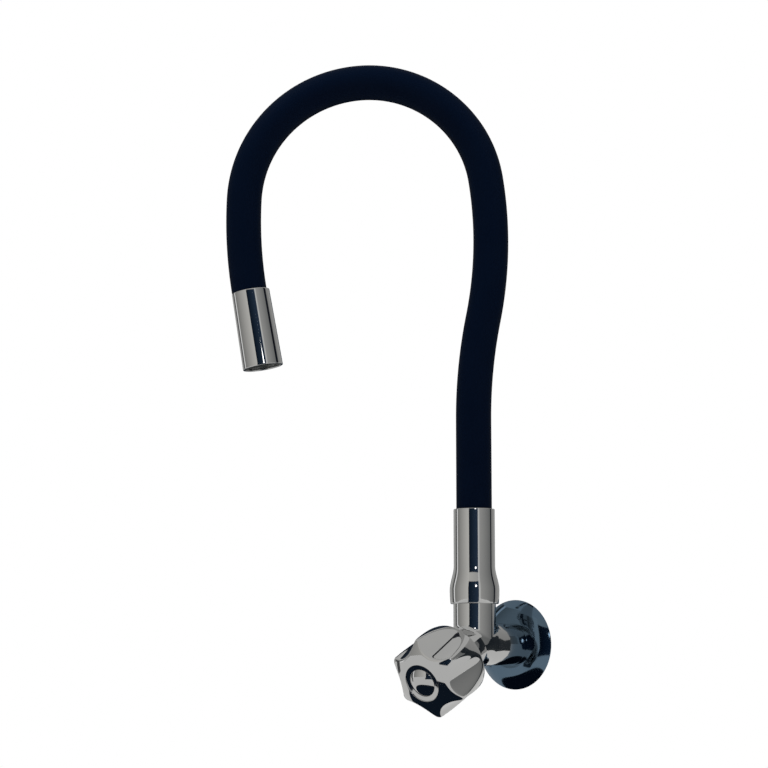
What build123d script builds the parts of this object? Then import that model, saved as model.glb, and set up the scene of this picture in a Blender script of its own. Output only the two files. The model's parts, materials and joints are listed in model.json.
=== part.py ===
from build123d import *
import os
from math import atan, cos, degrees, pi, radians, sin, sqrt, tan

# Wall-mounted kitchen tap with a flexible gooseneck spout, in millimetres.
# The origin lies on the inlet axis at the wall face. +Y runs into the wall and +Z is up.

# Clearances shared by every fit
RUN_GAP = 0.3        # pieces that turn or slide past each other
SEAT_GAP = 0.1       # pieces pushed together by hand
SEAL_GAP = 0.15      # rubber rings and the bore that they seal
CUT_MARGIN = 1.0     # cutters and edge picks reach past the metal
QUARTER = 90.0       # degrees

# Inlet nipple and stem of the valve body
INLET_THREAD_D = 20.955
INLET_THREAD_LENGTH = 14.5
INLET_LEAD_LENGTH = 3.0
INLET_LEAD_DEPTH = 1.3
INLET_RELIEF_LENGTH = 4.0
INLET_RELIEF_DEPTH = 1.0
INLET_BORE_D = 13.0
THREAD_START_Y = -1.0
STEM_LENGTH = 34.0          # shoulder to the axis of the spout boss
STEM_SHOULDER_D = 24.4
STEM_D = 25.6

# Wall flange pressed from sheet
FLANGE_D = 53.0
FLANGE_HOLE_D = 22.4
FLANGE_FLAT_D = 26.0
FLANGE_SHEET = 0.8
FLANGE_CROWN = 0.45         # height of the dish at mid width, as a share of straight slope

# Boss that carries the spout
BOSS_HEIGHT = 30.0
BOSS_NECK_D = 24.6
BOSS_THREAD_D = 26.0
BOSS_THREAD_LENGTH = 6.6
BOSS_CHAMFER = 0.6
BOSS_BLEND = 4.0
BOSS_FLOOR_GAP = 1.0        # space left under the tail
PASSAGE_D = 8.0
PASSAGE_SHIFT = 4.6         # passage axis in front of the boss axis

# Branch that carries the cartridge and the knob
BRANCH_LEAN = 25.0          # degrees below the inlet axis
BRANCH_LENGTH = 24.0
BRANCH_BULGE_D = 26.6
BRANCH_RIM_WALL = 0.7
ELBOW_RADIUS = 30.0
HEAD_CLEARANCE = 0.25
SEAT_HOLE_D = 10.4
SEAT_WEB = 1.0              # least metal between the inlet bore and the chamber

# Quarter-turn cartridge, lengths along its axis from the seal end
SEAL_D = 15.8
SEAL_HOLE_D = 10.4
SEAL_LENGTH = 2.3
CAGE_D = 16.4
CAGE_WALL = 1.3
CAGE_LENGTH = 15.7
CAGE_WINDOW_LENGTH = 4.6
CAGE_WINDOW_START = 6.6     # window edge above the seal
CAGE_WINDOW_ANGLE = 84.0
CHAMBER_GAP = 1.0           # water space around the cage
DISC_THICKNESS = 3.2
DISC_SECTOR_ANGLE = 78.0
DISC_HUB_D = 3.4
HOUSING_O_RING_SECTION = 2.1
HOUSING_FLANGE_D = 21.1
HOUSING_FLANGE_LENGTH = 8.0
HOUSING_TAPER_LENGTH = 7.0
HOUSING_TAPER_D = 19.4
HOUSING_NOSE_D = 12.6
SPINDLE_D = 10.5
SPINDLE_NECK_D = 7.6
SPINDLE_END_LENGTH = 9.7
SPINDLE_SPLINES = 20
SPINDLE_SPLINE_DEPTH = 0.5
SPINDLE_SPLINE_LENGTH = 6.5
SPINDLE_COLLAR_D = 11.0
SPINDLE_COLLAR_LENGTH = 2.0
SPINDLE_FORK_WIDTH = 3.0
SPINDLE_FORK_DEPTH = 1.2
SPINDLE_O_RING_SECTION = 1.8

# Star knob
KNOB_POINTS = 6
KNOB_POINT_D = 48.0
KNOB_VALLEY_D = 35.4
KNOB_BASE_D = 42.4
KNOB_WAIST_BULGE = 1.0
KNOB_HEIGHT = 32.0
KNOB_POINT_DROP = 6.0       # star points below the centre of the face
KNOB_FACE_CROWN = 0.9
KNOB_FLUTE_RADIUS = 18.0
KNOB_EDGE = 0.5
KNOB_OVERLAP = 2.0          # skirt over the head of the branch
KNOB_SKIRT_WALL = 2.6
KNOB_CORE_DEPTH = 22.0
KNOB_RING_D = 22.0
KNOB_RING_RECESS = 0.5
KNOB_HOLE_D = 15.9
KNOB_SOCKET_WALL = 2.2
INSERT_D = 14.0
INSERT_NECK_D = 12.6
INSERT_LENGTH = 10.0
INSERT_END_WALL = 3.4
SCREW_D = 4.0
SCREW_HEAD_D = 7.4
SCREW_HEAD_HEIGHT = 2.3
SCREW_LENGTH = 12.0
SCREW_SLOT_LENGTH = 4.6
SCREW_SLOT_WIDTH = 1.1
SCREW_SLOT_DEPTH = 1.4
CAP_RIM = 0.35              # cap rim beyond its hole
CAP_DOME = 3.2
CAP_PLUG_LENGTH = 3.6
CAP_WALL = 0.9

# Spout tail, heights above the inlet axis come from the boss
TAIL_TOP_D = 17.5
TAIL_WAIST_D = 15.3
TAIL_FLARE_D = 18.1
TAIL_PLUG_D = 18.3
TAIL_NECK_LENGTH = 26.4     # thrust ring to the end of the hose
TAIL_FLARE_LENGTH = 10.0
TAIL_FLARE_SHARE = 0.7      # curved share of the flare's length
TAIL_NECK_HOLLOW = 0.25     # dip of the neck below a straight taper
TAIL_PLUG_LENGTH = 17.4
TAIL_END_TAPER = 3.2
TAIL_END_DEPTH = 1.2
TAIL_SPIGOT_LENGTH = 22.0
TAIL_O_RING_D = 20.3
TAIL_O_RING_SECTION = 3.3
TAIL_O_RING_FIRST = 3.6     # thrust ring to the centre of the first rubber ring
TAIL_O_RING_PITCH = 5.5
TAIL_WATERWAY_D = 7.0
THRUST_RING_D = 22.4
THRUST_RING_HEIGHT = 3.2
THRUST_RING_SPLIT = 2.0
RING_GROOVE_DEPTH = 0.6

# Bell-shaped sleeve nut
SLEEVE_LENGTH = 55.0
SLEEVE_WALL = 1.2
SLEEVE_BELL_WALL = 1.25
SLEEVE_SKIRT = 7.0          # sleeve below the end of the boss
SLEEVE_BELL_LENGTH = 8.0
SLEEVE_FLARE_LENGTH = 14.0
SLEEVE_LIP_DRAFT = 0.4
SLEEVE_EDGE = 0.5

# Flexible spout: concentric layers and a centreline of tangent arcs
HOSE_D = 20.8
COVER_WALL = 2.2
CORE_WALL = 1.0
TUBE_WALL = 1.6
ARCH_TURN_ANGLE = 40.0      # arch plane away from the wall
HOSE_RISE = 71.0            # straight run above the tail
LEAN_OUT_RADIUS = 304.0
LEAN_OUT_ANGLE = 11.5
REAR_LEG_RADIUS = 238.0
REAR_LEG_ANGLE = 20.4
REAR_CROWN_RADIUS = 70.2
REAR_CROWN_ANGLE = 84.4
FRONT_CROWN_RADIUS = 75.0
FRONT_CROWN_ANGLE = 84.3
FRONT_LEG_RADIUS = 265.0
FRONT_LEG_ANGLE = 12.1

# Outlet ferrule and its aerator, lengths along the outlet axis
FERRULE_LENGTH = 46.0
FERRULE_TOP_WALL = 0.7
FERRULE_END_D = 23.8
FERRULE_SOCKET = 20.0
FERRULE_WEB = 3.0
FERRULE_END_WALL = 1.4
BARB_LENGTH = 15.0
BARB_COLLAR_D = 12.0
BARB_COLLAR_LENGTH = 2.0
BARB_RIB = 0.3
BARB_RIBS = 3
BARB_RIB_SHARE = 0.8        # length of a rib over the pitch
WASHER_HEIGHT = 2.0
WASHER_WIDTH = 2.4
AERATOR_RECESS = 1.6
AERATOR_WALL = 1.7
AERATOR_LEDGE = 1.2
SCREEN_THICKNESS = 1.2
SCREEN_CELL = 2.0
SCREEN_CELL_WEB = 0.45
SCREEN_RINGS = 3

# Values that follow from the sizes above
BOSS_Y = THREAD_START_Y - INLET_RELIEF_LENGTH - STEM_LENGTH
SHOULDER_Y = BOSS_Y + STEM_LENGTH
THREAD_END_Y = THREAD_START_Y + INLET_THREAD_LENGTH

CAGE_START = SEAL_LENGTH
CAGE_END = CAGE_START + CAGE_LENGTH
FLANGE_START = CAGE_END + HOUSING_O_RING_SECTION + SEAT_GAP
FLANGE_END = FLANGE_START + HOUSING_FLANGE_LENGTH
NOSE_END = FLANGE_END + HOUSING_TAPER_LENGTH
SPINDLE_SHOULDER = NOSE_END + SPINDLE_O_RING_SECTION + 2 * SEAT_GAP
SPINDLE_END = SPINDLE_SHOULDER + SPINDLE_END_LENGTH
SEAT_S = BRANCH_LENGTH - FLANGE_END
FIXED_DISC_START = CAGE_START + SEAT_GAP
MOVING_DISC_START = FIXED_DISC_START + DISC_THICKNESS + SEAT_GAP
DISC_STACK_END = MOVING_DISC_START + DISC_THICKNESS
DISC_D = CAGE_D - 2 * CAGE_WALL - 2 * SEAT_GAP
COLLAR_START = DISC_STACK_END + SEAT_GAP
COLLAR_END = COLLAR_START + SPINDLE_COLLAR_LENGTH
HEAD_BORE_D = HOUSING_FLANGE_D + 2 * HEAD_CLEARANCE
CHAMBER_D = CAGE_D + 2 * CHAMBER_GAP
HOUSING_NECK_D = CAGE_D - 2 * CAGE_WALL - 2 * SEAT_GAP

KNOB_START_S = BRANCH_LENGTH - KNOB_OVERLAP
SPINDLE_END_K = SPINDLE_END + SEAT_S - KNOB_START_S
INSERT_FLOOR_K = SPINDLE_END_K + RUN_GAP
INSERT_START_K = INSERT_FLOOR_K - INSERT_LENGTH
INSERT_END_K = INSERT_FLOOR_K + INSERT_END_WALL
KNOB_EDGE_K = KNOB_HEIGHT - KNOB_POINT_DROP

RING_BASE_Z = BOSS_HEIGHT
RING_TOP_Z = RING_BASE_Z + THRUST_RING_HEIGHT
HOSE_END_Z = RING_TOP_Z + TAIL_NECK_LENGTH
TAIL_END_Z = RING_BASE_Z - TAIL_PLUG_LENGTH
BOSS_BORE_D = TAIL_O_RING_D + 2 * SEAL_GAP
BOSS_FLOOR_Z = TAIL_END_Z - BOSS_FLOOR_GAP
SLEEVE_BORE_D = HOSE_D + 2 * RUN_GAP + 2 * SEAT_GAP
SLEEVE_THREAD_D = BOSS_THREAD_D + 2 * SEAL_GAP
SLEEVE_BASE_Z = BOSS_HEIGHT - SLEEVE_SKIRT
SLEEVE_TOP_Z = SLEEVE_BASE_Z + SLEEVE_LENGTH

COVER_BORE_D = HOSE_D - 2 * COVER_WALL
CORE_D = COVER_BORE_D - 2 * SEAT_GAP
CORE_BORE_D = CORE_D - 2 * CORE_WALL
TUBE_D = CORE_BORE_D - 2 * SEAT_GAP
TUBE_BORE_D = TUBE_D - 2 * TUBE_WALL
SPIGOT_D = TUBE_BORE_D - 2 * SEAT_GAP

FERRULE_BORE_D = HOSE_D + 2 * SEAT_GAP
FERRULE_TOP_D = FERRULE_BORE_D + 2 * FERRULE_TOP_WALL
FERRULE_CAVITY_D = FERRULE_END_D - 2 * FERRULE_END_WALL
CAVITY_START = FERRULE_SOCKET + SEAT_GAP + FERRULE_WEB
AERATOR_D = FERRULE_CAVITY_D - 2 * SEAT_GAP

# Working planes: each has its local Z along the axis of one group of pieces
ALONG_INLET = Plane(origin=(0, 0, 0), x_dir=(1, 0, 0), z_dir=(0, 1, 0))
ALONG_BOSS = Plane(origin=(0, BOSS_Y, 0), x_dir=(1, 0, 0), z_dir=(0, 0, 1))
LEAN = radians(BRANCH_LEAN)
ALONG_BRANCH = Plane(origin=(0, BOSS_Y, 0), x_dir=(1, 0, 0), z_dir=(0, -cos(LEAN), -sin(LEAN)))
ALONG_CARTRIDGE = ALONG_BRANCH.offset(SEAT_S)
ALONG_KNOB = ALONG_BRANCH.offset(KNOB_START_S)
ARCH_OUT = Vector(-cos(radians(ARCH_TURN_ANGLE)), -sin(radians(ARCH_TURN_ANGLE)), 0)
ARCH_PLANE = Plane(origin=(0, BOSS_Y, 0), x_dir=ARCH_OUT, z_dir=ARCH_OUT.cross(Vector(0, 0, 1)))


def bar(diameter, low, high):
    """Round bar on the Z axis between two heights."""
    blank = Cylinder(diameter / 2, high - low, align=(Align.CENTER, Align.CENTER, Align.MIN))
    return Pos(0, 0, low) * blank


def tube(diameter, bore, low, high):
    """Round tube on the Z axis between two heights."""
    return bar(diameter, low, high) - bar(bore, low, high)


def turned(*edges):
    """Solid turned about the Z axis from a closed half section of radius and height."""
    outline = Curve() + list(edges)
    return revolve(make_face((Plane.XZ * outline).edges()), Axis.Z)


def o_ring(outer_diameter, section, height):
    """Rubber ring of round section, centred at a height on the Z axis."""
    return Pos(0, 0, height) * Torus((outer_diameter - section) / 2, section / 2)


def wedge(angle, radius, low, high):
    """Sector of a disc, centred on the X axis, used to cut windows and disc openings."""
    half = radians(angle / 2)
    reach = radius / cos(half)
    corner = (reach * cos(half), reach * sin(half))
    outline = Polyline((0, 0), (corner[0], -corner[1]), corner, close=True)
    return Pos(0, 0, low) * extrude(make_face(outline), high - low)


def pair_of_wedges(angle, radius, low, high):
    """Two opposite sectors of a disc."""
    one = wedge(angle, radius, low, high)
    return one + Rot(0, 0, 180) * one


def casting():
    """Outside of the valve body: nipple, stem, elbow and branch, with the boss blended on."""
    tangent = ELBOW_RADIUS * tan(LEAN / 2)
    stem_end = BOSS_Y + tangent
    stem = Pos(0, 0, stem_end) * Cone(
        STEM_D / 2, STEM_SHOULDER_D / 2, SHOULDER_Y - stem_end,
        align=(Align.CENTER, Align.CENTER, Align.MIN),
    )
    elbow_axis = Axis((0, stem_end, -ELBOW_RADIUS), (1, 0, 0))
    elbow_section = Plane(origin=(0, stem_end, 0), x_dir=(1, 0, 0), z_dir=(0, 1, 0)) * Circle(STEM_D / 2)
    elbow = revolve(elbow_section, elbow_axis, BRANCH_LEAN)
    rim_r = HEAD_BORE_D / 2 + BRANCH_RIM_WALL
    shoulder_s = BRANCH_LENGTH - (BRANCH_BULGE_D / 2 - rim_r) * 2
    mid_s = (tangent + shoulder_s) / 2
    head = turned(
        Polyline((0, BRANCH_LENGTH), (0, tangent), (STEM_D / 2, tangent)),
        ThreePointArc(
            (STEM_D / 2, tangent),
            (BRANCH_BULGE_D / 2, mid_s),
            (BRANCH_BULGE_D / 2, shoulder_s),
        ),
        EllipticalCenterArc(
            (rim_r, shoulder_s), BRANCH_BULGE_D / 2 - rim_r, BRANCH_LENGTH - shoulder_s, arc_size=QUARTER
        ),
        Line((rim_r, BRANCH_LENGTH), (0, BRANCH_LENGTH)),
    )
    pipe = ALONG_INLET * stem + elbow + ALONG_BRANCH * head
    thread_start = BOSS_HEIGHT - BOSS_THREAD_LENGTH
    boss = ALONG_BOSS * bar(BOSS_NECK_D, 0, thread_start)
    blank = pipe + boss
    join = [
        edge for edge in blank.edges()
        if edge.center().Z > CUT_MARGIN and edge.bounding_box().max.Z < thread_start - CUT_MARGIN
        and edge.geom_type not in (GeomType.CIRCLE, GeomType.LINE)
    ]
    blank = fillet(join, BOSS_BLEND)
    thread = bar(BOSS_THREAD_D, thread_start, BOSS_HEIGHT)
    thread = chamfer(thread.edges().group_by(Axis.Z)[-1], BOSS_CHAMFER)
    return blank + ALONG_BOSS * thread


def nipple():
    """Inlet nipple: relief groove, threaded length at its outer size, and a rounded lead."""
    thread_r = INLET_THREAD_D / 2
    lead_r = thread_r - INLET_LEAD_DEPTH
    lead = turned(
        Polyline((0, THREAD_END_Y + INLET_LEAD_LENGTH), (0, THREAD_END_Y), (thread_r, THREAD_END_Y)),
        EllipticalCenterArc((lead_r, THREAD_END_Y), INLET_LEAD_DEPTH, INLET_LEAD_LENGTH, arc_size=QUARTER),
        Line((lead_r, THREAD_END_Y + INLET_LEAD_LENGTH), (0, THREAD_END_Y + INLET_LEAD_LENGTH)),
    )
    relief = bar(INLET_THREAD_D - 2 * INLET_RELIEF_DEPTH, SHOULDER_Y, THREAD_START_Y)
    return ALONG_INLET * (relief + bar(INLET_THREAD_D, THREAD_START_Y, THREAD_END_Y) + lead)


def valve_body():
    """Cast and turned body with its inlet, cartridge chamber, seat and outlet passages."""
    inlet_end = BOSS_Y - SEAT_S * cos(LEAN) + CHAMBER_D / 2 * sin(LEAN) + SEAT_WEB
    inlet = ALONG_INLET * bar(INLET_BORE_D, inlet_end, THREAD_END_Y + INLET_LEAD_LENGTH)
    seat_depth = (inlet_end - BOSS_Y) / cos(LEAN) + SEAT_S + SEAT_HOLE_D / 2 * tan(LEAN) + SEAT_WEB
    seat_hole = ALONG_CARTRIDGE * bar(SEAT_HOLE_D, -seat_depth, SEAL_LENGTH)
    chamber = ALONG_CARTRIDGE * bar(CHAMBER_D, 0, FLANGE_START)
    head_bore = ALONG_CARTRIDGE * bar(HEAD_BORE_D, CAGE_END - SEAT_GAP, FLANGE_END)
    socket = ALONG_BOSS * bar(BOSS_BORE_D, BOSS_FLOOR_Z, BOSS_HEIGHT)
    passage = ALONG_BOSS * (Pos(0, -PASSAGE_SHIFT, 0) * bar(PASSAGE_D, 0, BOSS_FLOOR_Z + CUT_MARGIN))
    return casting() + nipple() - inlet - seat_hole - chamber - head_bore - socket - passage


def wall_flange():
    """Dished sheet ring that rests its rim on the wall and its hole against the stem."""
    hole_r = FLANGE_HOLE_D / 2
    flat_r = FLANGE_FLAT_D / 2
    rim_r = FLANGE_D / 2
    depth = -SHOULDER_Y
    mid_r = (flat_r + rim_r) / 2
    mid_y = -depth * (1 - FLANGE_CROWN / 2)
    back_y = SHOULDER_Y + FLANGE_SHEET
    section = turned(
        Line((hole_r, SHOULDER_Y), (flat_r, SHOULDER_Y)),
        ThreePointArc((flat_r, SHOULDER_Y), (mid_r, mid_y), (rim_r, 0)),
        Line((rim_r, 0), (rim_r - FLANGE_SHEET, 0)),
        ThreePointArc(
            (rim_r - FLANGE_SHEET, 0),
            (mid_r - FLANGE_SHEET / 2, mid_y + FLANGE_SHEET),
            (flat_r, back_y),
        ),
        Polyline((flat_r, back_y), (hole_r, back_y), (hole_r, SHOULDER_Y)),
    )
    return ALONG_INLET * section


def seat_seal():
    """Soft ring that presses on the seat at the end of the cartridge."""
    return ALONG_CARTRIDGE * tube(SEAL_D, SEAL_HOLE_D, 0, SEAL_LENGTH)


def cartridge_cage():
    """Clear plastic sleeve round the discs, with two side windows for the water."""
    shell = tube(CAGE_D, CAGE_D - 2 * CAGE_WALL, CAGE_START, CAGE_END)
    low = CAGE_START + CAGE_WINDOW_START
    windows = pair_of_wedges(CAGE_WINDOW_ANGLE, CAGE_D, low, low + CAGE_WINDOW_LENGTH)
    return ALONG_CARTRIDGE * (shell - Rot(0, 0, QUARTER) * windows)


def ceramic_disc(start):
    """Ceramic disc with two opposite openings."""
    disc = bar(DISC_D, start, start + DISC_THICKNESS)
    openings = pair_of_wedges(DISC_SECTOR_ANGLE, DISC_D / 2 - CAGE_WALL, start, start + DISC_THICKNESS)
    hub = bar(DISC_HUB_D, start, start + DISC_THICKNESS)
    return disc - (openings & bar(DISC_D - 2 * CAGE_WALL, start, start + DISC_THICKNESS)) + hub


def fixed_disc():
    """Disc that stays in the cage."""
    return ALONG_CARTRIDGE * ceramic_disc(FIXED_DISC_START)


def moving_disc():
    """Disc that the spindle turns, shown in the closed position, with a slot for its fork."""
    slot_top = MOVING_DISC_START + DISC_THICKNESS
    slot = Pos(0, 0, slot_top) * Box(
        DISC_D, SPINDLE_FORK_WIDTH + 2 * SEAT_GAP, 2 * (SPINDLE_FORK_DEPTH + SEAT_GAP)
    )
    return ALONG_CARTRIDGE * (Rot(0, 0, QUARTER) * (ceramic_disc(MOVING_DISC_START) - slot))


def cartridge_o_ring():
    """Large rubber ring between the cage and the flange of the housing."""
    middle = CAGE_END + SEAT_GAP / 2 + HOUSING_O_RING_SECTION / 2
    return ALONG_CARTRIDGE * o_ring(HOUSING_FLANGE_D, HOUSING_O_RING_SECTION, middle)


def cartridge_housing():
    """Plastic bonnet: neck in the cage, screwed flange, taper and the bore of the spindle."""
    neck_start = COLLAR_END + SEAT_GAP
    taper = Pos(0, 0, FLANGE_END) * Cone(
        HOUSING_TAPER_D / 2, HOUSING_NOSE_D / 2, HOUSING_TAPER_LENGTH,
        align=(Align.CENTER, Align.CENTER, Align.MIN),
    )
    flange = bar(HOUSING_FLANGE_D, FLANGE_START, FLANGE_END)
    flange = chamfer(flange.edges().group_by(Axis.Z)[0], HOUSING_O_RING_SECTION / 4)
    shell = bar(HOUSING_NECK_D, neck_start, FLANGE_START) + flange + taper
    bore = bar(SPINDLE_NECK_D + 2 * RUN_GAP, neck_start, NOSE_END)
    return ALONG_CARTRIDGE * (shell - bore)


def spindle():
    """Plastic spindle: fork, collar under the bonnet, neck, and splined end for the knob."""
    fork = Box(
        SPINDLE_COLLAR_D - 2 * SEAT_GAP, SPINDLE_FORK_WIDTH, SPINDLE_FORK_DEPTH + SEAT_GAP,
        align=(Align.CENTER, Align.CENTER, Align.MAX),
    )
    fork = Pos(0, 0, COLLAR_START) * (Rot(0, 0, QUARTER) * fork)
    collar = bar(SPINDLE_COLLAR_D, COLLAR_START, COLLAR_END)
    neck = bar(SPINDLE_NECK_D, COLLAR_END, SPINDLE_SHOULDER)
    end = bar(SPINDLE_D, SPINDLE_SHOULDER, SPINDLE_END)
    notch_side = SPINDLE_SPLINE_DEPTH * sqrt(2)
    notch = Pos(SPINDLE_D / 2, 0, SPINDLE_END) * (
        Rot(0, 0, 45) * Box(
            notch_side, notch_side, SPINDLE_SPLINE_LENGTH,
            align=(Align.CENTER, Align.CENTER, Align.MAX),
        )
    )
    splines = PolarLocations(0, SPINDLE_SPLINES) * notch
    pilot = bar(SCREW_D + 2 * SEAT_GAP, SPINDLE_END - SCREW_LENGTH, SPINDLE_END)
    return ALONG_CARTRIDGE * (fork + collar + neck + end - splines - pilot)


def spindle_o_ring():
    """Small rubber ring on the neck of the spindle, just outside the bonnet."""
    middle = NOSE_END + SEAT_GAP + SPINDLE_O_RING_SECTION / 2
    diameter = SPINDLE_NECK_D + 2 * SPINDLE_O_RING_SECTION + 2 * SEAT_GAP
    return ALONG_CARTRIDGE * o_ring(diameter, SPINDLE_O_RING_SECTION, middle)


def knob_flute():
    """Leaning round cutter for one finger flute, deepest at the star face."""
    fade = atan((KNOB_BASE_D - KNOB_VALLEY_D) / 2 / KNOB_EDGE_K)
    cutter = Cylinder(KNOB_FLUTE_RADIUS, 3 * KNOB_HEIGHT)
    reach = KNOB_BASE_D / 2 + KNOB_FLUTE_RADIUS / cos(fade)
    return Pos(reach, 0, 0) * (Rot(0, -degrees(fade), 0) * cutter)


def knob_blank():
    """Outside of the knob: turned blank with a domed face, cut by the flutes."""
    point_r = KNOB_POINT_D / 2
    base_r = KNOB_BASE_D / 2
    ring_r = KNOB_RING_D / 2
    blank = turned(
        Line((0, 0), (base_r, 0)),
        ThreePointArc(
            (base_r, 0),
            ((base_r + point_r) / 2 + KNOB_WAIST_BULGE, KNOB_EDGE_K / 2),
            (point_r, KNOB_EDGE_K),
        ),
        ThreePointArc(
            (point_r, KNOB_EDGE_K),
            ((point_r + ring_r) / 2, KNOB_HEIGHT - KNOB_POINT_DROP / 2 + KNOB_FACE_CROWN),
            (ring_r, KNOB_HEIGHT),
        ),
        Polyline((ring_r, KNOB_HEIGHT), (0, KNOB_HEIGHT), (0, 0)),
    )
    flutes = PolarLocations(0, KNOB_POINTS) * knob_flute()
    blank = blank - flutes
    sharp = [
        edge for edge in blank.edges()
        if edge.geom_type != GeomType.CIRCLE and edge.center().Z > KNOB_EDGE_K
    ]
    return fillet(sharp, KNOB_EDGE)


def knob():
    """Hollow star knob with a socket for its brass insert and a hole for the cap."""
    wall_r = KNOB_VALLEY_D / 2 - KNOB_SKIRT_WALL
    socket_r = INSERT_D / 2 + SEAT_GAP + KNOB_SOCKET_WALL
    hollow = bar(2 * wall_r, 0, KNOB_CORE_DEPTH) - bar(2 * socket_r, INSERT_START_K, KNOB_CORE_DEPTH)
    socket = bar(INSERT_D + 2 * SEAT_GAP, INSERT_START_K, INSERT_FLOOR_K + SEAT_GAP)
    hole = bar(KNOB_HOLE_D, INSERT_FLOOR_K, KNOB_HEIGHT)
    dish = bar(KNOB_RING_D, KNOB_HEIGHT - KNOB_RING_RECESS, KNOB_HEIGHT)
    return ALONG_KNOB * (knob_blank() - hollow - socket - hole - dish)


def knob_insert():
    """Brass bush pressed into the knob, with the socket of the spindle and the screw hole."""
    outside = bar(INSERT_D, INSERT_START_K, INSERT_FLOOR_K)
    outside = outside + bar(INSERT_NECK_D, INSERT_FLOOR_K, INSERT_END_K)
    spindle_bore = bar(SPINDLE_D + 2 * SEAT_GAP, INSERT_START_K, INSERT_FLOOR_K)
    screw_hole = bar(SCREW_D + 2 * SEAT_GAP, INSERT_FLOOR_K, INSERT_END_K)
    return ALONG_KNOB * (outside - spindle_bore - screw_hole)


def knob_screw():
    """Cross-head screw that holds the knob on the spindle."""
    shank = bar(SCREW_D, INSERT_END_K - SCREW_LENGTH, INSERT_END_K)
    head_top = INSERT_END_K + SCREW_HEAD_HEIGHT
    head = bar(SCREW_HEAD_D, INSERT_END_K, head_top)
    head = fillet(head.edges().group_by(Axis.Z)[-1], SCREW_HEAD_HEIGHT / 2)
    slot = Pos(0, 0, head_top) * Box(SCREW_SLOT_LENGTH, SCREW_SLOT_WIDTH, 2 * SCREW_SLOT_DEPTH)
    return ALONG_KNOB * (shank + head - slot - Rot(0, 0, QUARTER) * slot)


def knob_cap():
    """Domed cap that plugs the hole in the face of the knob."""
    seat = KNOB_HEIGHT - KNOB_RING_RECESS
    rim_r = KNOB_HOLE_D / 2 + CAP_RIM
    plug_r = KNOB_HOLE_D / 2 - SEAT_GAP
    dome_r = (rim_r**2 + CAP_DOME**2) / (2 * CAP_DOME)
    ball = Pos(0, 0, seat + CAP_DOME - dome_r) * Sphere(dome_r)
    dome = ball & bar(2 * rim_r + CUT_MARGIN, seat, seat + CAP_DOME + CUT_MARGIN)
    plug = tube(2 * plug_r, 2 * (plug_r - CAP_WALL), seat - CAP_PLUG_LENGTH, seat)
    return ALONG_KNOB * (dome + plug)


def tail_fitting():
    """Turned tail of the spout: spigot in the hose, waisted neck, ring grooves and plug."""
    flare_top = RING_TOP_Z + TAIL_FLARE_LENGTH
    waist_r = TAIL_WAIST_D / 2
    flare_r = TAIL_FLARE_D / 2
    plug_r = TAIL_PLUG_D / 2
    groove_r = plug_r - RING_GROOVE_DEPTH
    curve_length = TAIL_FLARE_LENGTH * TAIL_FLARE_SHARE
    bend = 2 * atan((flare_r - waist_r) / curve_length)
    bend_radius = curve_length / (2 * sin(bend))
    spread = JernArc((waist_r, flare_top), (0, -1), bend_radius, degrees(bend))
    settle = JernArc(spread @ 1, spread % 1, bend_radius, -degrees(bend))
    body = turned(
        Line((0, HOSE_END_Z), (TAIL_TOP_D / 2, HOSE_END_Z)),
        ThreePointArc(
            (TAIL_TOP_D / 2, HOSE_END_Z),
            ((TAIL_TOP_D / 2 + waist_r) / 2 - TAIL_NECK_HOLLOW, (HOSE_END_Z + flare_top) / 2),
            (waist_r, flare_top),
        ),
        spread,
        settle,
        Polyline(
            settle @ 1,
            (flare_r, RING_TOP_Z + SEAT_GAP),
            (groove_r, RING_TOP_Z + SEAT_GAP),
            (groove_r, RING_BASE_Z - SEAT_GAP),
            (plug_r, RING_BASE_Z - SEAT_GAP),
            (plug_r, TAIL_END_Z + TAIL_END_TAPER),
            (plug_r - TAIL_END_DEPTH, TAIL_END_Z),
            (0, TAIL_END_Z),
            (0, HOSE_END_Z),
        ),
    )
    body = body + bar(SPIGOT_D, HOSE_END_Z, HOSE_END_Z + TAIL_SPIGOT_LENGTH)
    groove_d = TAIL_O_RING_D - 2 * TAIL_O_RING_SECTION - 2 * SEAT_GAP
    for height in tail_o_ring_heights():
        half = TAIL_O_RING_SECTION / 2 + SEAT_GAP
        body = body - tube(TAIL_PLUG_D + CUT_MARGIN, groove_d, height - half, height + half)
    waterway = bar(TAIL_WATERWAY_D, TAIL_END_Z, HOSE_END_Z)
    spigot_bore = bar(SPIGOT_D - 2 * CORE_WALL, HOSE_END_Z, HOSE_END_Z + TAIL_SPIGOT_LENGTH)
    return ALONG_BOSS * (body - waterway - spigot_bore)


def tail_o_ring_heights():
    """Heights of the two rubber rings of the tail, upper first."""
    upper = RING_BASE_Z - TAIL_O_RING_FIRST
    return upper, upper - TAIL_O_RING_PITCH


def tail_o_ring(height):
    """One rubber ring of the tail."""
    return ALONG_BOSS * o_ring(TAIL_O_RING_D, TAIL_O_RING_SECTION, height)


def thrust_ring():
    """Split plastic ring that carries the tail on the end of the boss."""
    bore = TAIL_PLUG_D - 2 * RING_GROOVE_DEPTH + 2 * SEAT_GAP
    ring = tube(THRUST_RING_D, bore, RING_BASE_Z, RING_TOP_Z)
    split = Pos(THRUST_RING_D / 2, 0, RING_BASE_Z) * Box(
        THRUST_RING_D, THRUST_RING_SPLIT, THRUST_RING_HEIGHT,
        align=(Align.CENTER, Align.CENTER, Align.MIN),
    )
    return ALONG_BOSS * (ring - split)


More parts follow.
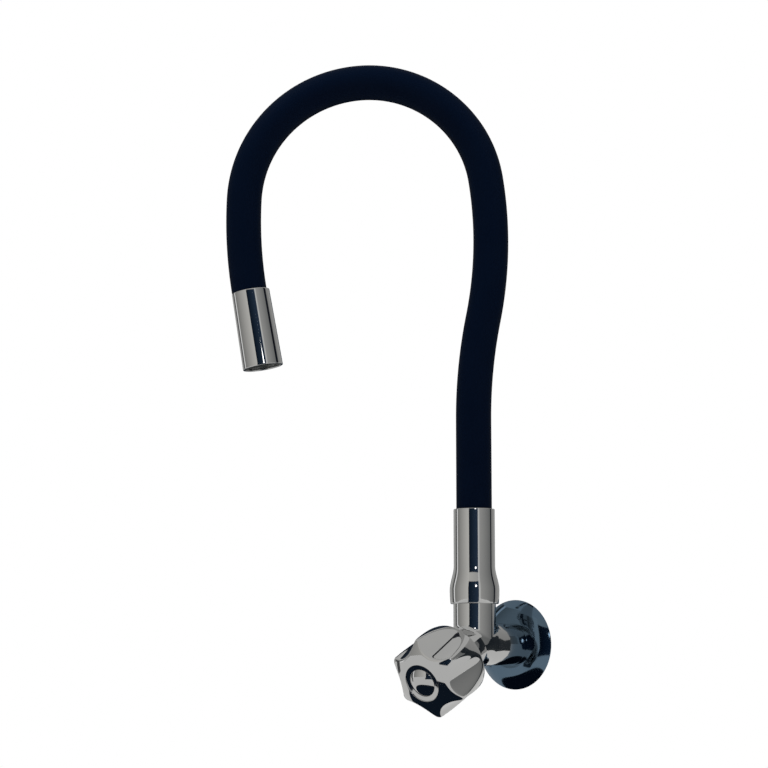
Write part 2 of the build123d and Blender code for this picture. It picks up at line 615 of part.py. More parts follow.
def union_sleeve():
    """Bell-shaped sleeve nut that screws on the boss and slides up the hose when undone."""
    neck_r = SLEEVE_BORE_D / 2 + SLEEVE_WALL
    bell_r = SLEEVE_THREAD_D / 2 + SLEEVE_BELL_WALL
    flare_top = SLEEVE_BASE_Z + SLEEVE_BELL_LENGTH + SLEEVE_FLARE_LENGTH
    bend = 2 * atan((bell_r - neck_r) / SLEEVE_FLARE_LENGTH)
    bend_radius = SLEEVE_FLARE_LENGTH / (2 * sin(bend))
    spread = JernArc((neck_r, flare_top), (0, -1), bend_radius, degrees(bend))
    settle = JernArc(spread @ 1, spread % 1, bend_radius, -degrees(bend))
    shoulder = RING_TOP_Z + RUN_GAP
    recess_r = THRUST_RING_D / 2 + RUN_GAP
    thread_r = SLEEVE_THREAD_D / 2
    thread_top = BOSS_HEIGHT + RUN_GAP
    section = turned(
        Line((neck_r, flare_top), (neck_r, SLEEVE_TOP_Z - SLEEVE_EDGE)),
        Line((neck_r, SLEEVE_TOP_Z - SLEEVE_EDGE), (neck_r - SLEEVE_EDGE, SLEEVE_TOP_Z)),
        Polyline(
            (neck_r - SLEEVE_EDGE, SLEEVE_TOP_Z),
            (SLEEVE_BORE_D / 2, SLEEVE_TOP_Z),
            (SLEEVE_BORE_D / 2, shoulder),
            (recess_r, shoulder),
            (recess_r, thread_top),
            (thread_r, thread_top),
            (thread_r, SLEEVE_BASE_Z),
            (bell_r - SLEEVE_LIP_DRAFT - SLEEVE_EDGE, SLEEVE_BASE_Z),
            (bell_r - SLEEVE_LIP_DRAFT, SLEEVE_BASE_Z + SLEEVE_EDGE),
        ),
        ThreePointArc(
            (bell_r - SLEEVE_LIP_DRAFT, SLEEVE_BASE_Z + SLEEVE_EDGE),
            (bell_r - SLEEVE_LIP_DRAFT / 4, SLEEVE_BASE_Z + SLEEVE_BELL_LENGTH / 2),
            settle @ 1,
        ),
        settle,
        spread,
    )
    return ALONG_BOSS * section


def hose_line():
    """Centreline of the hose in the arch plane: a rise, tangent arcs and the run in the ferrule."""
    runs = [Line((0, HOSE_END_Z), (0, HOSE_END_Z + HOSE_RISE))]
    arcs = (
        (LEAN_OUT_RADIUS, LEAN_OUT_ANGLE),
        (REAR_LEG_RADIUS, -REAR_LEG_ANGLE),
        (REAR_CROWN_RADIUS, -REAR_CROWN_ANGLE),
        (FRONT_CROWN_RADIUS, -FRONT_CROWN_ANGLE),
        (FRONT_LEG_RADIUS, -FRONT_LEG_ANGLE),
    )
    for radius, turn in arcs:
        runs.append(JernArc(runs[-1] @ 1, runs[-1] % 1, radius, turn))
    end = runs[-1] @ 1
    runs.append(Line(end, end + (runs[-1] % 1) * FERRULE_SOCKET))
    return ARCH_PLANE * Wire([edge for run in runs for edge in run.edges()])


def hose_layer(outer_diameter, inner_diameter):
    """One tubular layer of the hose, swept along the centreline."""
    line = hose_line()
    start = Plane(origin=line @ 0, z_dir=line % 0)
    section = start * (Circle(outer_diameter / 2) - Circle(inner_diameter / 2))
    layer = sweep(section, path=line)
    expected = pi / 4 * (outer_diameter**2 - inner_diameter**2) * line.length
    print(f"hose layer {outer_diameter:.1f}: volume over section times length {layer.volume / expected:.4f}")
    return layer


def along_outlet():
    """Plane at the top of the outlet ferrule, with its local Z towards the outlet."""
    line = hose_line()
    tangent = line % 1
    return Plane(origin=line @ 1 - tangent * FERRULE_SOCKET, x_dir=ARCH_PLANE.z_dir, z_dir=tangent)


def outlet_ferrule():
    """Flared chrome ferrule on the end of the hose, with the cavity of the aerator."""
    top_r = FERRULE_TOP_D / 2
    edge = FERRULE_TOP_WALL / 2
    shell = turned(
        Polyline(
            (0, 0),
            (top_r - edge, 0),
            (top_r, edge),
            (FERRULE_END_D / 2, FERRULE_LENGTH - edge),
            (FERRULE_END_D / 2 - edge, FERRULE_LENGTH),
            (0, FERRULE_LENGTH),
            close=True,
        )
    )
    socket = bar(FERRULE_BORE_D, 0, FERRULE_SOCKET + SEAT_GAP)
    web_hole = bar(SPIGOT_D + 2 * SEAT_GAP, FERRULE_SOCKET, CAVITY_START)
    cavity = bar(FERRULE_CAVITY_D, CAVITY_START, FERRULE_LENGTH)
    return along_outlet() * (shell - socket - web_hole - cavity)


def outlet_barb():
    """Brass hose tail fixed in the web of the ferrule, ribbed inside the hose."""
    start = FERRULE_SOCKET - BARB_LENGTH
    collar_end = CAVITY_START + BARB_COLLAR_LENGTH
    body = bar(SPIGOT_D - 2 * BARB_RIB, start, collar_end) + bar(BARB_COLLAR_D, CAVITY_START, collar_end)
    pitch = BARB_LENGTH / (BARB_RIBS + 1)
    for index in range(BARB_RIBS):
        rib = Cone(
            SPIGOT_D / 2 - BARB_RIB, SPIGOT_D / 2, pitch * BARB_RIB_SHARE,
            align=(Align.CENTER, Align.CENTER, Align.MIN),
        )
        body = body + Pos(0, 0, start + index * pitch) * rib
    body = body + bar(SPIGOT_D, FERRULE_SOCKET - pitch, CAVITY_START)
    bore = bar(SPIGOT_D - 2 * CORE_WALL, start, collar_end)
    return along_outlet() * (body - bore)


def aerator_washer():
    """Rubber washer between the web of the ferrule and the aerator."""
    bore = AERATOR_D - 2 * WASHER_WIDTH
    return along_outlet() * tube(AERATOR_D, bore, CAVITY_START, CAVITY_START + WASHER_HEIGHT)


def aerator_housing():
    """Plastic body of the aerator with a ledge for its screen."""
    start = CAVITY_START + WASHER_HEIGHT
    end = FERRULE_LENGTH - AERATOR_RECESS
    bore = AERATOR_D - 2 * AERATOR_WALL
    shell = tube(AERATOR_D, bore, start, end)
    ledge_top = end - 2 * SCREEN_THICKNESS
    ledge = tube(bore, bore - 2 * AERATOR_LEDGE, ledge_top - AERATOR_LEDGE, ledge_top)
    return along_outlet() * (shell + ledge)


def screen_cells():
    """Hexagonal cells of the screen, in rings round its centre."""
    cell = RegularPolygon((SCREEN_CELL - SCREEN_CELL_WEB) / sqrt(3), 6)
    places = []
    for row in range(-SCREEN_RINGS, SCREEN_RINGS + 1):
        count = 2 * SCREEN_RINGS + 1 - abs(row)
        for index in range(count):
            across = (index - (count - 1) / 2) * SCREEN_CELL
            places.append(Pos(row * SCREEN_CELL * sqrt(3) / 2, across, 0) * cell)
    return places


def aerator_screen():
    """Honeycomb disc that straightens the jet."""
    end = FERRULE_LENGTH - AERATOR_RECESS
    start = end - 2 * SCREEN_THICKNESS
    diameter = AERATOR_D - 2 * AERATOR_WALL - 2 * SEAT_GAP
    face = Circle(diameter / 2) - screen_cells()
    return along_outlet() * (Pos(0, 0, start) * extrude(face, SCREEN_THICKNESS))


def main():
    """Build every piece and write one file for each."""
    upper, lower = tail_o_ring_heights()
    pieces = {
        "valve_body": valve_body(),
        "wall_flange": wall_flange(),
        "seat_seal": seat_seal(),
        "cartridge_cage": cartridge_cage(),
        "fixed_disc": fixed_disc(),
        "moving_disc": moving_disc(),
        "cartridge_o_ring": cartridge_o_ring(),
        "cartridge_housing": cartridge_housing(),
        "spindle": spindle(),
        "spindle_o_ring": spindle_o_ring(),
        "knob": knob(),
        "knob_insert": knob_insert(),
        "knob_screw": knob_screw(),
        "knob_cap": knob_cap(),
        "union_sleeve": union_sleeve(),
        "tail_fitting": tail_fitting(),
        "tail_o_ring_upper": tail_o_ring(upper),
        "tail_o_ring_lower": tail_o_ring(lower),
        "thrust_ring": thrust_ring(),
        "hose_cover": hose_layer(HOSE_D, COVER_BORE_D),
        "gooseneck_core": hose_layer(CORE_D, CORE_BORE_D),
        "water_tube": hose_layer(TUBE_D, TUBE_BORE_D),
        "outlet_ferrule": outlet_ferrule(),
        "outlet_barb": outlet_barb(),
        "aerator_washer": aerator_washer(),
        "aerator_housing": aerator_housing(),
        "aerator_screen": aerator_screen(),
    }
    os.makedirs("parts", exist_ok=True)
    for name, shape in pieces.items():
        export_step(shape, f"parts/{name}.step")


main()
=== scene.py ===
import json
import logging
from dataclasses import dataclass
from enum import Enum
from functools import lru_cache
from math import atan, atan2, cos, degrees, exp, log, pi, radians, sin, sqrt, tan
from typing import Iterable

import bmesh
import bpy
from bmesh.types import BMesh
from bpy.types import Material, Node, NodeSocket, NodeTree, Object
from mathutils import Matrix, Vector
from numpy import array, interp


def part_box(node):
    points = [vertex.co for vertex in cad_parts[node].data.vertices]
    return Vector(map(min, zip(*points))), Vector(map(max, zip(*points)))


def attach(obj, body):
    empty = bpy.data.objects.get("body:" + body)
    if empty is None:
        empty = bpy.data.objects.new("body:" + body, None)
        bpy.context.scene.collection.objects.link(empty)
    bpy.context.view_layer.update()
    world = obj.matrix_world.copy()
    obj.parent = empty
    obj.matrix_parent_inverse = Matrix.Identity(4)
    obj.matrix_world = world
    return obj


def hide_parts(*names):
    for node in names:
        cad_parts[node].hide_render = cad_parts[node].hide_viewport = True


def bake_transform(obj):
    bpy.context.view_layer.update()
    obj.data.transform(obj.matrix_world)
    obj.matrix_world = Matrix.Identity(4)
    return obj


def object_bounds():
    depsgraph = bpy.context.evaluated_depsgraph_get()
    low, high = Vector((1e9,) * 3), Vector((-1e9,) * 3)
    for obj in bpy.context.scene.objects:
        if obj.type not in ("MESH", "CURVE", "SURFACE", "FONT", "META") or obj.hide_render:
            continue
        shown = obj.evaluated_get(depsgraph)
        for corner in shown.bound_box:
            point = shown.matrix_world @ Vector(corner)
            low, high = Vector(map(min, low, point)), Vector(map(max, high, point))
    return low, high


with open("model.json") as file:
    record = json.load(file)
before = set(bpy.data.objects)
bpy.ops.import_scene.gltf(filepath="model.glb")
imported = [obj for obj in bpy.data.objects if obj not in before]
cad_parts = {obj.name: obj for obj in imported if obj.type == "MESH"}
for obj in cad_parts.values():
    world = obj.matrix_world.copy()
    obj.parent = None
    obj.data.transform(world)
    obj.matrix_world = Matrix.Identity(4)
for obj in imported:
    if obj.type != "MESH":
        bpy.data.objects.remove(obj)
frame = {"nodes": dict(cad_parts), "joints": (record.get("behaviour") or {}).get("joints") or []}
CAD_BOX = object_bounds()

LOG = logging.getLogger("kitchen_tap")

# Shapes are drawn in millimetres, each about its own axis, and placed in the frame in metres
MM = 0.001
WELD = 1e-4
SHARP_ANGLE = radians(40.0)
UP = Vector((0.0, 0.0, 1.0))
ACROSS = Vector((1.0, 0.0, 0.0))
JOINTS = {joint["name"]: joint for joint in frame["joints"]}
WHITE = (1.0, 1.0, 1.0, 1.0)
BLACK = (0.0, 0.0, 0.0, 1.0)
Colour = tuple[float, float, float]
Point = tuple[float, float]


class Body(Enum):
    """Groups of pieces that move together."""

    VALVE = "valve"
    HANDLE = "handle"
    SLEEVE = "sleeve"
    SPOUT = "spout"
    OUTLET = "outlet"


class Relief(Enum):
    """Kinds of fine surface that a finish can show."""

    CLOUDED = "clouded"
    TURNED = "turned"
    WRAPPED = "wrapped"


def feed(tree: NodeTree, node: Node, inputs: dict[str | int, object]) -> None:
    """Fill the inputs of a node: a socket is linked, anything else becomes the input's value.

    Args:
        tree: Node tree that holds the node.
        node: Node to fill.
        inputs: What each input gets, by its name or its number.
    """
    for key, given in inputs.items():
        if isinstance(given, NodeSocket):
            tree.links.new(given, node.inputs[key])
        else:
            node.inputs[key].default_value = given


def add_node(tree: NodeTree, kind: str, inputs: dict[str | int, object], **settings: str) -> Node:
    """Add a node to a tree.

    Args:
        tree: Node tree to add to.
        kind: Type of the node.
        inputs: What each input gets, by its name or its number.
        settings: Options of the node.

    Returns:
        The new node.
    """
    node = tree.nodes.new(kind)
    for name, setting in settings.items():
        setattr(node, name, setting)
    feed(tree, node, inputs)
    return node


def new_material(name: str) -> tuple[Material, NodeTree, Node]:
    """Make a material that has nodes.

    Args:
        name: Name of the material.

    Returns:
        The material, its node tree and its shader.
    """
    material = bpy.data.materials.new(name)
    material.use_nodes = True
    return material, material.node_tree, material.node_tree.nodes["Principled BSDF"]


@dataclass(frozen=True)
class Finish:
    """A surface finish, drawn with nodes that read Object coordinates.

    The colour and the roughness drift between two values over a soft noise, and a fine relief breaks up the
    gloss. Scales are per metre, and the depth of the relief is in metres.
    """

    slot: str
    colour: Colour
    drift: Colour
    roughness: Point
    metallic: float = 0.0
    specular: float = 0.5
    coat: float = 0.0
    see_through: float = 0.0
    patch: float = 90.0
    grain: float = 900.0
    depth: float = 0.00001
    relief: Relief = Relief.CLOUDED
    label: str = ""
    noise_detail: float = 4.0
    noise_span: Point = (0.3, 0.7)
    wave_distortion: float = 0.6

    def material(self) -> Material:
        """Make the material, or give the one made before.

        Returns:
            The material of this finish.
        """
        name = f"{self.label or self.slot}_finish"
        if name in bpy.data.materials:
            return bpy.data.materials[name]
        material, tree, shader = new_material(name)
        where = tree.nodes.new("ShaderNodeTexCoord").outputs["Object"]
        cloud = self._noise(tree, where, self.patch)
        colour = add_node(tree, "ShaderNodeMix", {
            "A": (*self.colour, 1.0), "B": (*self.drift, 1.0), "Factor": cloud,
        }, data_type="RGBA")
        roughness = add_node(tree, "ShaderNodeMapRange", {
            "From Min": self.noise_span[0], "From Max": self.noise_span[1],
            "To Min": self.roughness[0], "To Max": self.roughness[1], "Value": cloud,
        })
        bump = add_node(tree, "ShaderNodeBump", {"Distance": self.depth, "Height": self._height(tree, where)})
        feed(tree, shader, {
            "Base Color": colour.outputs["Result"], "Roughness": roughness.outputs["Result"],
            "Normal": bump.outputs["Normal"], "Metallic": self.metallic, "Specular IOR Level": self.specular,
            "Coat Weight": self.coat, "Transmission Weight": self.see_through,
        })
        return material

    def _noise(self, tree: NodeTree, where: NodeSocket, scale: float) -> NodeSocket:
        """Add a noise at a scale."""
        inputs = {"Scale": scale, "Detail": self.noise_detail, "Vector": where}
        return add_node(tree, "ShaderNodeTexNoise", inputs).outputs["Fac"]

    def _height(self, tree: NodeTree, where: NodeSocket) -> NodeSocket:
        """Add the height of the fine relief.

        Args:
            tree: Node tree of the material.
            where: Object coordinates.

        Returns:
            The height at each place.
        """
        if self.relief is Relief.CLOUDED:
            return self._noise(tree, where, self.grain)
        inputs = {"Scale": self.grain, "Distortion": self.wave_distortion, "Vector": where}
        direction = "Z" if self.relief is Relief.WRAPPED else "Y"
        wave = add_node(tree, "ShaderNodeTexWave", inputs, wave_type="BANDS", bands_direction=direction)
        return wave.outputs["Fac"]


CHROME = Finish(
    "chrome", (0.580, 0.578, 0.572), (0.540, 0.542, 0.545), (0.030, 0.065),
    metallic=1.0, patch=70.0, grain=180.0, depth=0.000002,
)
# Chrome of the wall flange with a painted reflection: its dark steel-blue base colour stands in for the dark
# bluish surroundings that the flat ring mirrors.
CHROME_WITH_PAINTED_REFLECTION = Finish(
    "chrome", (0.125, 0.185, 0.250), (0.090, 0.145, 0.205), (0.050, 0.110),
    metallic=1.0, patch=55.0, grain=90.0, depth=0.000003, label="chrome_with_painted_reflection",
)
BRASS = Finish(
    "brass", (0.78, 0.60, 0.28), (0.66, 0.48, 0.20), (0.22, 0.34),
    metallic=1.0, grain=700.0, relief=Relief.TURNED,
)
ZINC_STEEL = Finish(
    "zinc_steel", (0.72, 0.72, 0.70), (0.60, 0.61, 0.62), (0.26, 0.40), metallic=1.0, grain=1200.0,
)
BLACK_SILICONE = Finish(
    "black_silicone", (0.0004, 0.0026, 0.0095), (0.0009, 0.0036, 0.0115), (0.48, 0.60),
    specular=0.02, patch=45.0, grain=2600.0, depth=0.000012,
)
BLACK_RUBBER = Finish(
    "black_rubber", (0.010, 0.010, 0.011), (0.018, 0.018, 0.019), (0.42, 0.58), grain=1800.0,
)
RED_SILICONE = Finish("red_silicone", (0.78, 0.13, 0.05), (0.66, 0.09, 0.04), (0.40, 0.55), grain=1600.0)
BLUE_PLASTIC = Finish(
    "blue_plastic", (0.020, 0.130, 0.520), (0.014, 0.095, 0.420), (0.30, 0.42), grain=1400.0, depth=0.000008,
)
WHITE_PLASTIC = Finish(
    "white_plastic", (0.80, 0.80, 0.77), (0.73, 0.73, 0.70), (0.30, 0.44), grain=1200.0, depth=0.000008,
)
CLEAR_PLASTIC = Finish(
    "clear_plastic", (0.85, 0.86, 0.82), (0.78, 0.79, 0.76), (0.22, 0.36), see_through=0.6, depth=0.000008,
)
WHITE_CERAMIC = Finish(
    "white_ceramic", (0.86, 0.85, 0.82), (0.80, 0.79, 0.76), (0.10, 0.18),
    coat=0.4, grain=2200.0, depth=0.000004,
)
STEEL_COIL = Finish(
    "steel_coil", (0.55, 0.55, 0.55), (0.42, 0.42, 0.43), (0.28, 0.42),
    metallic=1.0, grain=220.0, depth=0.0003, relief=Relief.WRAPPED,
)
CLEAR_TUBE = Finish("clear_tube", (0.76, 0.77, 0.74), (0.68, 0.69, 0.66), (0.30, 0.42), see_through=0.4)
GREY_PLASTIC = Finish(
    "grey_plastic", (0.060, 0.066, 0.064), (0.042, 0.047, 0.046), (0.34, 0.48), grain=1500.0,
)


def axis_frame(origin: Iterable[float], along: Vector, across: Vector) -> Matrix:
    """Place a shape drawn about its local Z axis.

    Args:
        origin: Place of the local origin, in metres.
        along: Direction of the local Z axis.
        across: Direction of the local X axis, square to the first.

    Returns:
        The matrix from local millimetres to the frame in metres.
    """
    z_axis = Vector(along).normalized()
    x_axis = Vector(across).normalized()
    turn = Matrix((x_axis, z_axis.cross(x_axis), z_axis)).transposed().to_4x4()
    return Matrix.Translation(Vector(origin)) @ turn @ Matrix.Scale(MM, 4)


SPOUT_AXIS = Vector(JOINTS["spout_swivel"]["pos_m"])
BRANCH_AXIS = Vector(JOINTS["handle_turn"]["axis"])
ARCH_NORMAL = Vector(JOINTS["outlet_bend"]["axis"])
ARCH_OUT = UP.cross(ARCH_NORMAL)
ALONG_INLET = axis_frame((0.0, 0.0, 0.0), Vector((0.0, 1.0, 0.0)), ACROSS)
ALONG_BOSS = axis_frame((SPOUT_AXIS.x, SPOUT_AXIS.y, 0.0), UP, ACROSS)
ALONG_BRANCH = axis_frame(JOINTS["handle_turn"]["pos_m"], BRANCH_AXIS, ACROSS)


def weld(mesh: BMesh, distance: float = WELD) -> None:
    """Join the points of a mesh that lie together."""
    bmesh.ops.remove_doubles(mesh, verts=mesh.verts[:], dist=distance)


def face_out(mesh: BMesh) -> None:
    """Turn every face of a mesh outwards."""
    bmesh.ops.recalc_face_normals(mesh, faces=mesh.faces[:])


class Profile:
    """Half section of a turned piece, as radii and heights in millimetres."""

    def __init__(self, radius: float, height: float) -> None:
        """Start at one point."""
        self.points: list[Point] = [(radius, height)]

    def line(self, *corners: Point) -> "Profile":
        """Go on straight through the corners."""
        self.points.extend(corners)
        return self

    def arc(self, through: Point, end: Point, steps: int = 14) -> "Profile":
        """Go on along the arc through a point to its end.

        Args:
            through: A point on the arc.
            end: The end of the arc.
            steps: Straight pieces that draw the arc.

        Returns:
            The profile itself.
        """
        first, second, third = (Vector(p) for p in (self.points[-1], through, end))
        chord, reach = second - first, third - first
        turn = 2 * (chord.x * reach.y - chord.y * reach.x)
        centre = first + Vector((
            reach.y * chord.length_squared - chord.y * reach.length_squared,
            chord.x * reach.length_squared - reach.x * chord.length_squared,
        )) / turn
        start = first - centre
        sweep = start.angle_signed(second - centre) + (second - centre).angle_signed(third - centre)
        for step in range(1, steps + 1):
            spin = Matrix.Rotation(-sweep * step / steps, 2)
            self.points.append(tuple(centre + spin @ start))
        return self

    def ease(self, end: Point, steps: int = 20) -> "Profile":
        """Go on along a soft S curve whose two ends run along the axis.

        Args:
            end: The end of the curve.
            steps: Straight pieces that draw the curve.

        Returns:
            The profile itself.
        """
        radius, height = self.points[-1]
        for step in range(1, steps + 1):
            share = step / steps
            swell = share * share * (3 - 2 * share)
            self.points.append((radius + (end[0] - radius) * swell, height + (end[1] - height) * share))
        return self

    def _supported(self, closed: bool, margin: float = 1.0) -> list[Point]:
        """Add a point near both ends of each long straight run, which keeps its gloss straight.

        Args:
            closed: The last point joins the first.
            margin: Distance of the new points from the corners.

        Returns:
            The points of the section with the new ones between them.
        """
        points: list[Point] = []
        following = self.points[1:] + (self.points[:1] if closed else [])
        for here, there in zip(self.points, following):
            start, run = Vector(here), Vector(there) - Vector(here)
            points.append(here)
            if run.length > 3 * margin:
                share = margin / run.length
                points += [tuple(start + run * share), tuple(start + run * (1 - share))]
        if not closed:
            points.append(self.points[-1])
        return points

    def turned(
        self, steps: int = 160, angle: float = 2 * pi, closed: bool = True, rise: float = 0.0
    ) -> BMesh:
        """Turn the section about the local Z axis.

        Args:
            steps: Facets round the axis.
            angle: Sweep in radians.
            closed: Join the last point to the first.
            rise: Height that the section gains in the sweep.

        Returns:
            The turned mesh.
        """
        mesh = bmesh.new()
        verts = [mesh.verts.new((radius, 0.0, height)) for radius, height in self._supported(closed)]
        following = verts[1:] + (verts[:1] if closed else [])
        edges = [mesh.edges.new(pair) for pair in zip(verts, following)]
        whole = angle >= 2 * pi and not rise
        bmesh.ops.spin(
            mesh, geom=verts + edges, cent=(0, 0, 0), axis=UP, dvec=UP * rise / steps, angle=angle,
            steps=steps, use_merge=whole,
        )
        weld(mesh)
        if not whole:
            ends = [edge for edge in mesh.edges if edge.is_boundary]
            bmesh.ops.holes_fill(mesh, edges=ends, sides=len(ends))
        face_out(mesh)
        return mesh


def break_edges(mesh: BMesh, width: float, sharper_than: float = 28.0) -> None:
    """Round every edge that is sharper than an angle.

    Args:
        mesh: Mesh to change.
        width: Width of the rounding in millimetres.
        sharper_than: Least angle between two faces, in degrees.
    """
    limit = radians(sharper_than)
    sharp = [edge for edge in mesh.edges if len(edge.link_faces) == 2 and edge.calc_face_angle() > limit]
    bmesh.ops.bevel(
        mesh, geom=sharp, offset=width, affect="EDGES", segments=3, profile=0.5, material=-1,
        clamp_overlap=True,
    )
    face_out(mesh)


def new_object(name: str, mesh: BMesh, material: Material) -> Object:
    """Turn a bmesh into an object in the scene.

    Args:
        name: Name of the object.
        mesh: Its shape in the frame, freed here.
        material: Its material.

    Returns:
        The new object at the origin.
    """
    data = bpy.data.meshes.new(name)
    mesh.to_mesh(data)
    mesh.free()
    data.materials.append(material)
    thing = bpy.data.objects.new(name, data)
    bpy.context.scene.collection.objects.link(thing)
    return thing


def add_piece(name: str, mesh: BMesh, finish: Finish, place: Matrix | None = None) -> Object:
    """Turn a bmesh into a smooth piece of the tap.

    Args:
        name: Name of the piece.
        mesh: Its shape, freed here.
        finish: Its finish.
        place: Matrix from the shape to the frame, where the shape isn't in the frame yet.

    Returns:
        The new piece at the origin.
    """
    if place is not None:
        bmesh.ops.transform(mesh, matrix=place, verts=mesh.verts[:])
    for face in mesh.faces:
        face.smooth = True
    piece = new_object(name, mesh, finish.material())
    piece.data.set_sharp_from_angle(angle=SHARP_ANGLE)
    return piece


def stand_for(piece: Object, body: Body, *nodes: str) -> None:
    """Let a piece ride on a body in the place of some solids, and report it.

    Args:
        piece: The piece.
        body: Body that carries it.
        nodes: Solids that it replaces.
    """
    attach(piece, body.value)
    if nodes:
        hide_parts(*nodes)
    LOG.info("%s rides on %s, %d faces", piece.name, body.value, len(piece.data.polygons))


def dress(finish: Finish, *nodes: str) -> None:
    """Give solids that keep their own shape a finish, and report them.

    Args:
        finish: The finish.
        nodes: Names of the solids.
    """
    for node in nodes:
        solid = frame["nodes"][node]
        for place in solid.material_slots:
            place.material = finish.material()
        LOG.info("%s is dressed in %s", node, finish.slot)


@dataclass(frozen=True)
class Thread:
    """Screw thread on an axis of the body: a ridge wound on its root.

    The ridge keeps away from both ends by shares of the pitch, and runs out in a share of a turn.
    """

    name: str
    place: Matrix
    diameter: float
    start: float
    end: float
    pitch: float
    lead_in: float = 0.5
    run_out: float = 0.5
    fade: float = 0.3
    depth: float = 0.85
    overlap: float = 0.1
    sink: float = 0.15
    slack: float = 0.05
    foot_share: float = 0.46
    top_share: float = 0.09
    steps_each: int = 72

    def turn_down(self, mesh: BMesh) -> None:
        """Reduce the threaded length of the body to the root of its thread.

        Args:
            mesh: Mesh of the body in the frame.
        """
        back = self.place.inverted()
        for vert in mesh.verts:
            local = back @ vert.co
            near = abs(local.xy.length - self.diameter / 2) < self.slack
            if near and self.start - self.slack <= local.z <= self.end + self.slack:
                local.xy *= 1 - 2 * self.depth / self.diameter
                vert.co = self.place @ local

    def ridge(self) -> Object:
        """Wind the ridge of the thread.

        Returns:
            The wound ridge.
        """
        crest = self.diameter / 2
        root = crest - self.depth - self.overlap
        low, high = self.start + self.pitch * self.lead_in, self.end - self.pitch * self.run_out
        turns = (high - low) / self.pitch
        foot, top, sunk = self.pitch * self.foot_share, self.pitch * self.top_share, root - self.sink
        section = Profile(sunk, low - foot).line(
            (root, low - foot), (crest, low - top), (crest, low + top), (root, low + foot),
            (sunk, low + foot),
        )
        mesh = section.turned(round(turns * self.steps_each), 2 * pi * turns, rise=high - low)
        for vert in mesh.verts:
            reach = vert.co.xy.length
            if reach > root + self.slack:
                done = (vert.co.z - low) / self.pitch
                share = max(0.0, min(1.0, min(done, turns - done) / self.fade))
                vert.co.xy *= (root + (reach - root) * share) / reach
        return add_piece(self.name, mesh, CHROME, self.place)


@dataclass
class ValveBody:
    """Cast body with its two screw threads, the wall flange and the cartridge inside."""

    threads: tuple[Thread, ...] = (
        Thread("inlet_thread", ALONG_INLET, 20.955, -1.0, 13.5, 1.814),
        Thread("boss_thread", ALONG_BOSS, 26.0, 23.4, 30.0, 1.5, run_out=0.7),
    )
    seam: float = 1e-6
    flange_d: float = 53.0
    flange_hole_d: float = 22.4
    flange_flat_d: float = 26.0
    flange_depth: float = 5.0
    flange_sheet: float = 0.8
    flange_crown: float = 0.45
    flange_edge_share: float = 0.3

    def build(self) -> None:
        """Make every piece of the valve."""
        stand_for(self.casting(), Body.VALVE, "valve_body")
        for thread in self.threads:
            stand_for(thread.ridge(), Body.VALVE)
        stand_for(self.flange(), Body.VALVE, "wall_flange")
        dress(WHITE_PLASTIC, "cartridge_housing")
        dress(CLEAR_PLASTIC, "cartridge_cage")
        dress(RED_SILICONE, "seat_seal")
        dress(WHITE_CERAMIC, "fixed_disc")
        dress(BLACK_RUBBER, "cartridge_o_ring")

    def casting(self) -> Object:
        """Copy the solid body with its exact normals, and turn its threads down to their roots.

        Returns:
            The casting.
        """
        solid = frame["nodes"]["valve_body"].data
        mesh = bmesh.new()
        mesh.from_mesh(solid)
        exact = mesh.loops.layers.float_vector.new("exact")
        for face, polygon in zip(mesh.faces, solid.polygons):
            for loop, corner in zip(face.loops, polygon.loop_indices):
                loop[exact] = solid.corner_normals[corner].vector
        weld(mesh, self.seam)
        for thread in self.threads:
            thread.turn_down(mesh)
        piece = add_piece("valve_casting", mesh, CHROME)
        data = piece.data
        data.normals_split_custom_set([tuple(item.vector) for item in data.attributes["exact"].data])
        data.attributes.remove(data.attributes["exact"])
        return piece

    def flange(self) -> Object:
        """Press the dished ring that covers the hole in the wall.

        Returns:
            The flange.
        """
        hole, flat, rim = self.flange_hole_d / 2, self.flange_flat_d / 2, self.flange_d / 2
        middle = (flat + rim) / 2
        crown = -self.flange_depth * (1 - self.flange_crown / 2)
        sheet = self.flange_sheet
        profile = Profile(hole, -self.flange_depth).line((flat, -self.flange_depth))
        profile.arc((middle, crown), (rim, 0.0), steps=24).line((rim - sheet, 0.0))
        profile.arc((middle - sheet / 2, crown + sheet), (flat, sheet - self.flange_depth), steps=24)
        profile.line((hole, sheet - self.flange_depth))
        mesh = profile.turned(steps=192)
        break_edges(mesh, sheet * self.flange_edge_share, sharper_than=20.0)
        # Painted reflection: the ring gets the chrome whose dark steel-blue base colour stands in for the
        # dark surroundings it mirrors.
        return add_piece("flange_ring", mesh, CHROME_WITH_PAINTED_REFLECTION, ALONG_INLET)


